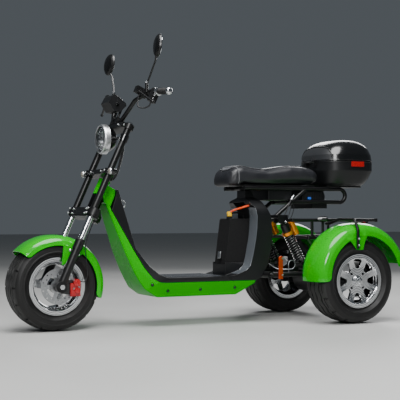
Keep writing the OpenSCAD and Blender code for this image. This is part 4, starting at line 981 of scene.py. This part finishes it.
# %% Seat vinyl
HOLE_MM = 9  # From one hole to the next
side_vinyl = finish(
    "charcoal_seat_vinyl", "seat_vinyl", ("#15161A", "#1D1E22"), (0.36, 0.48), 5, 0.25, patch_mm=90
)[0]
perforated_vinyl_painted_sheen, tree, shader, place, colour, _ = finish(
    "perforated_vinyl_painted_top_sheen", "seat_vinyl", ("#4C4E51", "#585A5E"), (0.42, 0.55), 6, 0.3, patch_mm=90
)
cells = add(
    tree, "ShaderNodeTexVoronoi", {"Vector": place, "Scale": 1 / (HOLE_MM * MM), "Randomness": 0.15}
)
holes = remap(tree, cells.outputs["Distance"], 0.16, 0.34)
tree.links.new(blend(tree, holes, linear("#141516"), colour), shader.inputs["Base Color"])
settle(seat_cover, "seat_cover", side_vinyl, "chassis")
seat_cover.data.materials.append(perforated_vinyl_painted_sheen)
# Upward faces inside the panel take the perforated vinyl, whose paler grey is painted sheen
for face in seat_cover.data.polygons:
    face.material_index = int(face.normal.z > 0.3 and panel_place(face.center) < 1)
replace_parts(seat_cover, "seat")
print(sum(face.material_index for face in seat_cover.data.polygons), "faces on the top panel")

# %% [markdown]
# A welt cord is sewn round the top panel, with a row of stitches inside it. Both follow the cover: each of
# their points is dropped onto it from above.

# %% Welt and stitches
def panel_line(grow_mm, count, lift_mm):
    """A closed line on the seat, that far outside the panel's edge."""
    middle, half_x, half_y = SEAT_PANEL
    rays = []
    for i in range(count):
        a = 2 * math.pi * i / count
        c, s = math.cos(a), math.sin(a)
        x = middle + (half_x + grow_mm) * math.copysign(abs(c) ** 0.4, c)
        y = (half_y + grow_mm) * math.copysign(abs(s) ** 0.4, s)
        rays.append((from_axle(x, y, 1200), -UP))
    line = traced(surface_of(seat_cover), rays, lift_mm)
    return resampled(line + [line[0]], count + 1)[:-1]


settle(tube_piece(panel_line(0, 240, 0.6), 6, ring=True), "seat_welt", side_vinyl, "chassis")


ROUND_ANGLE = math.radians(40)  # The same for small turned and moulded pieces


def spread(name, master, spots, material, body):
    """Copies a small piece to each place, facing each direction, and joins the copies into one piece."""
    copies = []
    for place, axis in spots:
        copies.append(activate(bpy.data.objects.new(name, master.data.copy())))
        stand(copies[-1], place, axis)
    clear()
    bpy.data.objects.remove(master)
    for copy in copies:
        copy.select_set(True)
    bpy.ops.object.join()
    bpy.ops.object.shade_smooth_by_angle(angle=ROUND_ANGLE)
    return settle(bpy.context.object, name, material, body)


stitch_line = panel_line(-9, 180, 0.3)
stitches = [
    ((a + b) / 2, (b - a).normalized()) for a, b in zip(stitch_line, stitch_line[1:] + stitch_line[:1])
]
thread_and_seam_highlight = finish("grey_thread_and_painted_seam_highlight", "seat_vinyl", ("#5A5B5D", "#6A6B6D"), (0.6, 0.7), 4, 0.1)[0]
spread(
    "seat_stitches", turned([(0.4, -2.8), (0.9, -1.8), (0.9, 1.8), (0.4, 2.8)], 6), stitches, thread_and_seam_highlight,
    "chassis",
)
# The nose panel is sewn on across the seat, a hand's breadth behind its front
NOSE_MM, SEAT_MIDDLE_Z = 56, 770
nose = Vector((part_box("seat")[1][0] - NOSE_MM * MM, 0, SEAT_MIDDLE_Z * MM))
nose_seam = over_arch(surface_of(seat_cover), nose, 0.4, -0.12, 1.24, 0.4)
# The seam takes the pale thread finish as a painted highlight along its piping
settle(tube_piece(nose_seam, 4), "seat_nose_seam", thread_and_seam_highlight, "chassis")
print(len(stitches), "stitches")

# %% [markdown]
# The springs are wound from thin wire, in more turns than the plain solid has. One is drawn as a helix
# about z and set on both shock absorbers.

# %% Springs
# Black enamel with a hard gloss, so that each turn of the wire catches the light
spring_enamel = finish(
    "gloss_spring_enamel", "black_paint", ("#0C0D0E", "#151618"), (0.12, 0.18), 20, 0.01, Coat_Weight=1.0
)[0]
SHOCK_LOW, SHOCK_TOP = from_axle(149, 130, 279), from_axle(274, 130, 527)
SPRING_LOW, SPRING_LEN, SPRING_R, WIRE_MM, TURNS, STEPS = 44, 152, 27, 6.4, 11, 24
helix = []
for i in range(TURNS * STEPS + 1):
    a = 2 * math.pi * i / STEPS
    z = SPRING_LOW + SPRING_LEN * i / (TURNS * STEPS)
    helix.append(Vector((SPRING_R * math.cos(a), SPRING_R * math.sin(a), z)) * MM)
shock_spots = both([(SHOCK_LOW, (SHOCK_TOP - SHOCK_LOW).normalized())])
springs = spread("wound_springs", tube_piece(helix, WIRE_MM), shock_spots, spring_enamel, "chassis")
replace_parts(springs, "shock_springs")
print(TURNS, "turns on each spring")

# %% [markdown]
# The grips are ribbed rubber between a bright collar and a domed bright cap, all turned about the end of
# the bar.

# %% Grips
BAR_END = (-39, 381, 203)
BAR_DIR = (-0.2719, 0.9616, 0.0332)
grip_spots = both([(on_bars(*BAR_END), -fork_turn(*BAR_DIR))])
ribs = [(14.4 + 1.7 * (i % 4 in (1, 2)), 17 + 1.55 * i) for i in range(40)]
rubber_sleeve = turned([(11.4, 17)] + ribs + [(11.4, 79)], 40, closed=True)
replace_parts(spread("ribbed_grips", rubber_sleeve, grip_spots, soft_rubber, "fork"), "grips")
cap = turned(
    [(0.5, -6), (8, -5.4), (13, -3.4), (16.8, 0), (18, 5), (17.6, 14), (15.6, 17), (11.4, 17), (11.4, 0),
     (0.5, 0)],
    40, closed=True,
)
spread("grip_end_caps", cap, grip_spots, chrome, "fork")
collar = turned(
    [(11.4, 79), (17, 79), (21, 80.5), (22, 83), (20.5, 86), (20.5, 91), (22, 94), (21, 97), (17, 98),
     (11.4, 98)],
    40, closed=True,
)
spread("grip_collars", collar, grip_spots, chrome, "fork")
print("grips ready")

# %% [markdown]
# Behind the lamp's glass sit a silvered bowl and a bulb with its bright shade.

# %% Head lamp
LAMP = on_bars(64, 0, -74)
bowl = turned(
    [(61, -9), (58.5, -21.5), (52, -35), (36, -51.5), (8, -60.5), (8, -62), (37, -53), (53.5, -36),
     (60, -22), (62.5, -9)],
    64, closed=True,
)
lamp_silver = finish(
    "silvered_lamp_bowl", "chrome", ("#A8AAAC", "#BCBEC0"), (0.26, 0.36), 4, 0.06, Metallic=1.0
)[0]
spread("lamp_reflector", bowl, [(LAMP, FORWARD)], lamp_silver, "fork")
bulb_glass = finish("frosted_bulb_glass", "clear_lens", ("#F2F4F2", "#FFFFFF"), (0.2, 0.3), 10, 0.05)[0]
bulb = turned([(6, -61), (6, -46), (9, -40), (11, -30), (9, -20), (4, -15), (1, -14)], 24)
spread("lamp_bulb", bulb, [(LAMP, FORWARD)], bulb_glass, "fork")
print("head lamp ready")

# %% [markdown]
# Each indicator is a dark bullet with a smoked lens in a bright ring.

# %% Indicators
FRONT_BULLET = both([(on_fork(8, LEG_HALF + 60, 605), FORWARD)])
REAR_BULLET = both([(from_axle(86, 224, 542), Vector((-0.94, -0.342, 0)))])


def indicator(name, spots, r, z, body):
    lens = turned(
        [(r - 1, z - 6), (r - 1, z), (0.9 * r, z + 4), (0.66 * r, z + 7), (0.3 * r, z + 8.6), (1, z + 9)], 32
    )
    spread(f"{name}_lenses", lens, spots, smoked_lens, body)
    rim = turned(
        [(r - 1, z - 3), (r + 1.6, z - 3), (r + 2, z), (r + 1, z + 2.4), (r - 1, z + 2)], 32, closed=True
    )
    spread(f"{name}_rims", rim, spots, chrome, body)


indicator("front_indicator", FRONT_BULLET, 16, 13, "fork")
indicator("rear_indicator", REAR_BULLET, 15, 23, "chassis")
print("indicators ready")

# %% [markdown]
# Fasteners. Four kinds are turned to size and copied to where the real ones show: socket-head screws,
# domed rivets, domed nuts and hexagon nuts with the end of their stud. Where a solid slopes, a ray finds
# the place.

# %% Kinds of fastener
def shaped(r, profile, sides):
    """A piece turned from a profile that is given in shares of its radius."""
    return turned([(r * out, r * up) for out, up in profile], sides)


def socket_screw(r):
    return shaped(r, [(1, 0), (1, 0.8), (0.88, 1), (0.5, 1), (0.5, 0.5)], 18)


def rivet(r):
    return turned(
        [(r, -1), (r, 0.15 * r), (0.86 * r, 0.42 * r), (0.5 * r, 0.62 * r), (0.12 * r, 0.7 * r)], 18
    )


def dome_nut(r):
    return shaped(
        r, [(1.25, 0), (1.25, 0.2), (1, 0.25), (1, 0.9), (0.86, 1.25), (0.5, 1.55), (0.1, 1.65)], 12
    )


def hex_nut(r):
    return shaped(r, [(1, 0), (1, 0.7), (0.88, 0.82), (0.5, 0.82), (0.5, 1.2), (0.4, 1.3)], 6)


print("four kinds of fastener")

# %% [markdown]
# On the fork: wiper seals over the sliders, bright domed nuts on the lower crown, pinch screws on the
# upper one, hexagon caps on the legs, screws in the bar's risers, and the ignition lock between them.

# %% Fork and bar hardware
fork_up, fork_ahead = fork_turn(0, 0, 1), fork_turn(1, 0, 0)
LEG_TOP, SLIDER_TOP = 870.2, 240.2
leg_tops = both([(on_fork(0, LEG_HALF, LEG_TOP), fork_up)])
slider_tops = both([(on_fork(0, LEG_HALF, SLIDER_TOP), fork_up)])
wiper = turned([(16.4, 0), (22.6, 0), (22.6, 5), (20, 9), (16.4, 10)], 40, closed=True)
spread("fork_wipers", wiper, slider_tops, soft_rubber, "fork")
crown_spots = [on_fork(30, s * y, z) for s in (1, -1) for y in (LEG_HALF, 92) for z in (378, 402)]
crown_nuts = seat_on("fork_crowns", crown_spots, -fork_ahead)
spread("lower_crown_nuts", dome_nut(4.5), crown_nuts, steel, "fork")
clamp_spots = [
    on_fork(60, s * y, z) for inner, z in ((70, 605), (84, 853)) for s in (1, -1) for y in (LEG_HALF, inner)
]
clamp_screws = seat_on("fork_crowns", clamp_spots, -fork_ahead)
spread("crown_pinch_screws", socket_screw(5), clamp_screws, steel, "fork")
leg_cap = turned([(17, 0), (17, 5), (15.5, 7), (9, 7), (9, 5.5)], 6)
spread("leg_caps", leg_cap, leg_tops, chrome, "fork")
riser_screws = [(on_bars(22 + dx, s * 27, 60.2), fork_up) for s in (1, -1) for dx in (-14, 14)]
spread("riser_screws", socket_screw(4.5), riser_screws, chrome, "fork")
lock = turned([(13, 0), (13, 6), (11.5, 8), (9, 8), (9, 6.5), (4, 6.5), (4, 7.4)], 28)
spread("ignition_lock", lock, [(on_bars(22, 0, 26.2), fork_up)], chrome, "fork")
mirror_nut = turned([(4.8, 0), (10.5, 0), (10.5, 6), (4.8, 6)], 6, closed=True)
spread("mirror_nuts", mirror_nut, both([(on_bars(31.6, 221.9, 231.3), UP)]), chrome, "fork")
print("fork hardware ready")

# %% [markdown]
# The instrument has a bright frame round its glass and a knob on each side. Each switch pod has two
# buttons that face the rider and a slide on its outer side.

# %% Controls
def rounded(corners, share=0.12):
    """A closed line round corners, which are cut three times over."""
    for _ in range(3):
        cut = []
        for a, b in zip(corners, corners[1:] + corners[:1]):
            cut += [a.lerp(b, share), a.lerp(b, 1 - share)]
        corners, share = cut, 0.25
    return corners


glass_corners = along(on_bars, (101, 49, 153.5), (101, -49, 153.5), (43, -49, 141), (43, 49, 141))
glass_frame = rounded(glass_corners, 0.16)
settle(tube_piece(glass_frame, 5, ring=True), "instrument_frame", gloss_abs, "fork")
knob = turned([(9, 0), (9.6, 1), (9.6, 7), (8, 9), (5, 9.4)], 14)
spread("instrument_knobs", knob, both([(on_bars(76, 58, 112), LEFT)]), gloss_abs, "fork")
pod, tilt = Vector((-8.7, 274, 199.3)), math.radians(15.8)
pod_back = Vector((-math.cos(tilt), -math.sin(tilt), 0))
pod_side = Vector((-math.sin(tilt), math.cos(tilt), 0))
buttons = [
    (on_bars(*(pod + pod_back * 19.5 + Vector((0, 0, z)))), fork_turn(*pod_back)) for z in (-20, -34, -48)
]
button = turned([(5, 0), (5, 2.4), (4.2, 3.4), (2, 3.8)], 16)
spread("switch_buttons", button, both(buttons), red_enamel, "fork")
slides = [(on_bars(*(pod + pod_side * 11.8 + Vector((4, 0, z)))), fork_turn(*pod_side)) for z in (-24, -42)]
slide = turned([(6, 0), (6, 1.6), (5.2, 2.4), (1, 2.8)], 4)
spread("switch_slides", slide, both(slides), steel, "fork")
print("controls ready")

# %% [markdown]
# Wheels: the disc is bolted to the hub at five places, the rear rims carry four deep-set lug nuts and a
# hexagon cap, and each rim has a valve stem.

# %% Wheel hardware
def round_wheel(axle, side, radius, offset, angles):
    """Places on a wheel's face, that far out from the axle, facing outward."""
    return [
        (axle + Vector((radius * math.cos(a), side * offset, radius * math.sin(a))) * MM, LEFT * side)
        for a in map(math.radians, angles)
    ]


front_axle = from_axle(WHEEL_BASE, 0, FRONT_AXLE_Z)
disc_bolts = round_wheel(front_axle, 1, 46, 104.2, range(0, 360, 72))
spread("disc_bolts", socket_screw(5), disc_bolts, steel, "front_wheel")
VALVE = [(5.5, 0), (5, 8), (4, 12), (4, 22), (3, 24), (1, 24.5)]
VALVE_R = 103  # How far from the axle a valve's foot lies


def valve(name, axle, angle, body):
    inward = -Vector((math.cos(angle), 0, math.sin(angle)))
    spread(name, turned(VALVE, 14), [(axle - inward * VALVE_R * MM, inward)], soft_rubber, body)


valve("front_valve", front_axle + Vector((0, 30, 0)) * MM, math.radians(-100), "front_wheel")
for side, name in ((1, "left"), (-1, "right")):
    axle, body = from_axle(0, side * HALF_TRACK, REAR_AXLE_Z), f"rear_wheel_{name}"
    lugs = round_wheel(axle, side, 50, 58, range(45, 405, 90))
    # The lug nuts take the black coat as painted shade in their deep-set holes
    spread(f"lug_nuts_{name}", dome_nut(5), lugs, black_coat, body)
    cap = turned([(18, 0), (18, 4), (16, 6.5), (10, 7.5), (10, 6), (2, 6)], 6)
    spread(f"hub_cap_{name}", cap, [(axle + LEFT * side * 84.6 * MM, LEFT * side)], chrome, body)
    valve(f"rear_valve_{name}", axle + LEFT * side * 40 * MM, 0.0, body)
print("wheel hardware ready")

# %% [markdown]
# Fenders and their stays are held by domed screws and nuts at the tabs. The caliper has two fixing screws,
# two bosses and a bright ferrule where the hose enters it.

# %% Fender and caliper hardware
tab_screws = seat_on("front_fender", along(from_axle, (1456, 130, 392), (1415, 130, 372)), -LEFT)
spread("front_tab_screws", rivet(8), both(tab_screws), chrome, "fork")
stay_screws = both([(from_axle(28, 475.2, z), LEFT) for z in (441, 409)])
spread("stay_screws", dome_nut(4.5), stay_screws, steel, "chassis")


def on_caliper(*spots):
    """Where small parts sit on the caliper's outer face."""
    rays = [from_axle(WHEEL_BASE - 80 + x, 150, FRONT_AXLE_Z - 8 + z) for x, z in spots]
    return seat_on("front_caliper", rays, -LEFT)


spread("caliper_screws", socket_screw(4.5), on_caliper((-16, 4), (12, -2)), steel, "fork")
boss = turned([(14, -3), (14, 5), (12.5, 8), (9, 9), (8, 7.5), (1, 7.5)], 28)
spread("caliper_bosses", boss, on_caliper((-2, 22), (-6, -14)), red_enamel, "fork")
ferrule = turned([(2.7, 0), (5, 0), (5, 12), (4, 14), (2.7, 14)], 20, closed=True)
spread("hose_ferrule", ferrule, [(hose_line[-1], -FORWARD)], chrome, "fork")
print("fender and caliper hardware ready")

# %% [markdown]
# Nuts and screws hold the shock absorbers, the links and the swing arm's pivot. The shock cable has an
# adjuster half way along.

# %% Suspension hardware
shock_bolts = both([(from_axle(274, 155.6, 527), LEFT), (from_axle(149, 153.6, 279), LEFT)])
spread("shock_bolts", hex_nut(8), shock_bolts, steel, "chassis")
link_bolts = both([(from_axle(330, 215.4, z), LEFT) for z in (250, 336)])
spread("link_bolts", socket_screw(5), link_bolts, steel, "chassis")
pivot_nuts = both([(from_axle(388.4, 198.3, 250), LEFT)])
spread("pivot_nuts", hex_nut(12), pivot_nuts, black_coat, "chassis")
adjuster = turned(
    [(3.2, -14), (5.5, -14), (5.5, -4), (7, -4), (7, 4), (5.5, 4), (5.5, 16), (3.2, 16)], 16, closed=True
)
half_way = len(shock_line) // 2
adjuster_axis = (shock_line[half_way + 1] - shock_line[half_way - 1]).normalized()
spread("cable_adjuster", adjuster, [(shock_line[half_way], adjuster_axis)], chrome, "chassis")
print("suspension hardware ready")

# %% [markdown]
# Body: screws along the belly, a bag hook on the inner panel, and the battery's latch, carrying strap and
# plug. The latch and the plug start as a cube that is stretched to size and has its edges rounded.

# %% Body hardware
belly = [(1035, 214), (953, 182), (771, 184), (572, 188)]
belly_screws = seat_on("frame", [from_axle(x, 200, z) for x, z in belly], -LEFT)
spread("belly_screws", rivet(8), both(belly_screws), black_coat, "chassis")


def block(name, size, place, material, body, round_mm, turn_y=0.0):
    """A moulded block: a cube stretched to size, its top inset and raised a little, its edges rounded."""
    clear()
    bpy.ops.mesh.primitive_cube_add(size=1)
    piece = bpy.context.object
    bpy.ops.object.mode_set(mode="EDIT")
    bpy.ops.transform.resize(value=[v * MM for v in size])
    choose(piece, "faces", lambda p, n: n.z > 0.5)
    bpy.ops.mesh.inset(thickness=0.16 * min(size[:2]) * MM)
    bpy.ops.transform.translate(value=(0, 0, 0.08 * size[2] * MM))
    bpy.ops.mesh.select_all(action="SELECT")
    bpy.ops.mesh.bevel(offset=round_mm * MM, segments=3, affect="EDGES")
    bpy.ops.object.mode_set(mode="OBJECT")
    piece.matrix_world = Matrix.Translation(place) @ Matrix.Rotation(turn_y, 4, "Y")
    bpy.ops.object.transform_apply(location=True, rotation=True, scale=True)
    bpy.ops.object.shade_smooth_by_angle(angle=ROUND_ANGLE)
    return settle(piece, name, material, body)


block("battery_latch", (38, 30, 7), from_axle(590, 0, 352), steel, "chassis", 1.5, math.radians(83))
block("battery_plug", (20, 20, 24), from_axle(547, 32, 569), yellow_nylon, "chassis", 1.5)
strap = eased(along(from_axle, (430, -20, 547), (436, -20, 578), (508, -20, 578), (514, -20, 547)))
settle(tube_piece(strap, 9), "battery_strap", soft_rubber, "chassis")
hook = eased(along(
    from_axle, (1170, 0, 640), (1146, 0, 640), (1128, 0, 622), (1134, 0, 600), (1152, 0, 606),
))
settle(tube_piece(hook, 6), "bag_hook", steel, "chassis")
print("body hardware ready")

# %% [markdown]
# The electrics boxes are ribbed for cooling and carry a small blue connector.

# %% Electrics
fins = both([(from_axle(6 + 11 * i, 98.9, 668), UP) for i in range(11)])
fin = turned([(1.4, -28), (2.4, -26), (2.4, 26), (1.4, 28)], 8)
spread("controller_fins", fin, fins, charcoal_abs, "chassis")
block("blue_connector", (18, 12, 12), from_axle(92, 106, 656), blue_nylon, "chassis", 1.2)
print("electrics ready")

# %% [markdown]
# Top case: a raised ridge crosses the lid, a bead runs round the edge of the lid and of the base, and the
# lock sits at the middle of the back.

# %% Trim of the top case
def round_case(node, z, count, out_mm):
    """A level line round one half of the case, that far outside it."""
    skin, middle, line = surface_of(nodes[node]), from_axle(-157, 0, z), []
    for i in range(count):
        a = 2 * math.pi * i / count
        ray = Vector((math.cos(a), math.sin(a), 0))
        spot, _, _, _ = skin.ray_cast(middle + ray * 0.6, -ray)
        line.append(spot + ray * out_mm * MM)
    return resampled(line + [line[0]], 2 * count + 1)[:-1]


lid_line, base_line = round_case("case_lid", 869, 90, -0.8), round_case("case_base", 858, 90, -0.8)
settle(tube_piece(lid_line, 5, ring=True), "lid_bead", gloss_abs, "lid")
settle(tube_piece(base_line, 5, ring=True), "base_bead", charcoal_abs, "chassis")
ridge = over_arch(surface_of(nodes["case_lid"]), from_axle(RIDGE_X, 0, 870), 0.5, 0.03, 0.94, -0.5)
settle(tube_piece(ridge, 8), "lid_ridge", satin_abs, "lid")
block("lock_plate", (34, 46, 9), from_axle(-327, 0, 838), gloss_abs, "chassis", 2, math.radians(-90))
barrel = turned([(9, 0), (9, 5), (8, 6), (6, 6), (6, 4.6), (1.5, 4.6)], 24)
spread("lock_barrel", barrel, [(from_axle(-331, 0, 838), -FORWARD)], chrome, "chassis")
print("top case trim ready")

# %% [markdown]
# The floor is pale sealed concrete with a faint mottle.

# %% Floor finish
pale_floor = finish(
    "pale_sealed_floor", None, ("#A6A6A4", "#B0B0AE"), (0.5, 0.65), 30, 0.2, patch_mm=900
)[0]
floor.data.materials.append(pale_floor)
print("floor finish ready")
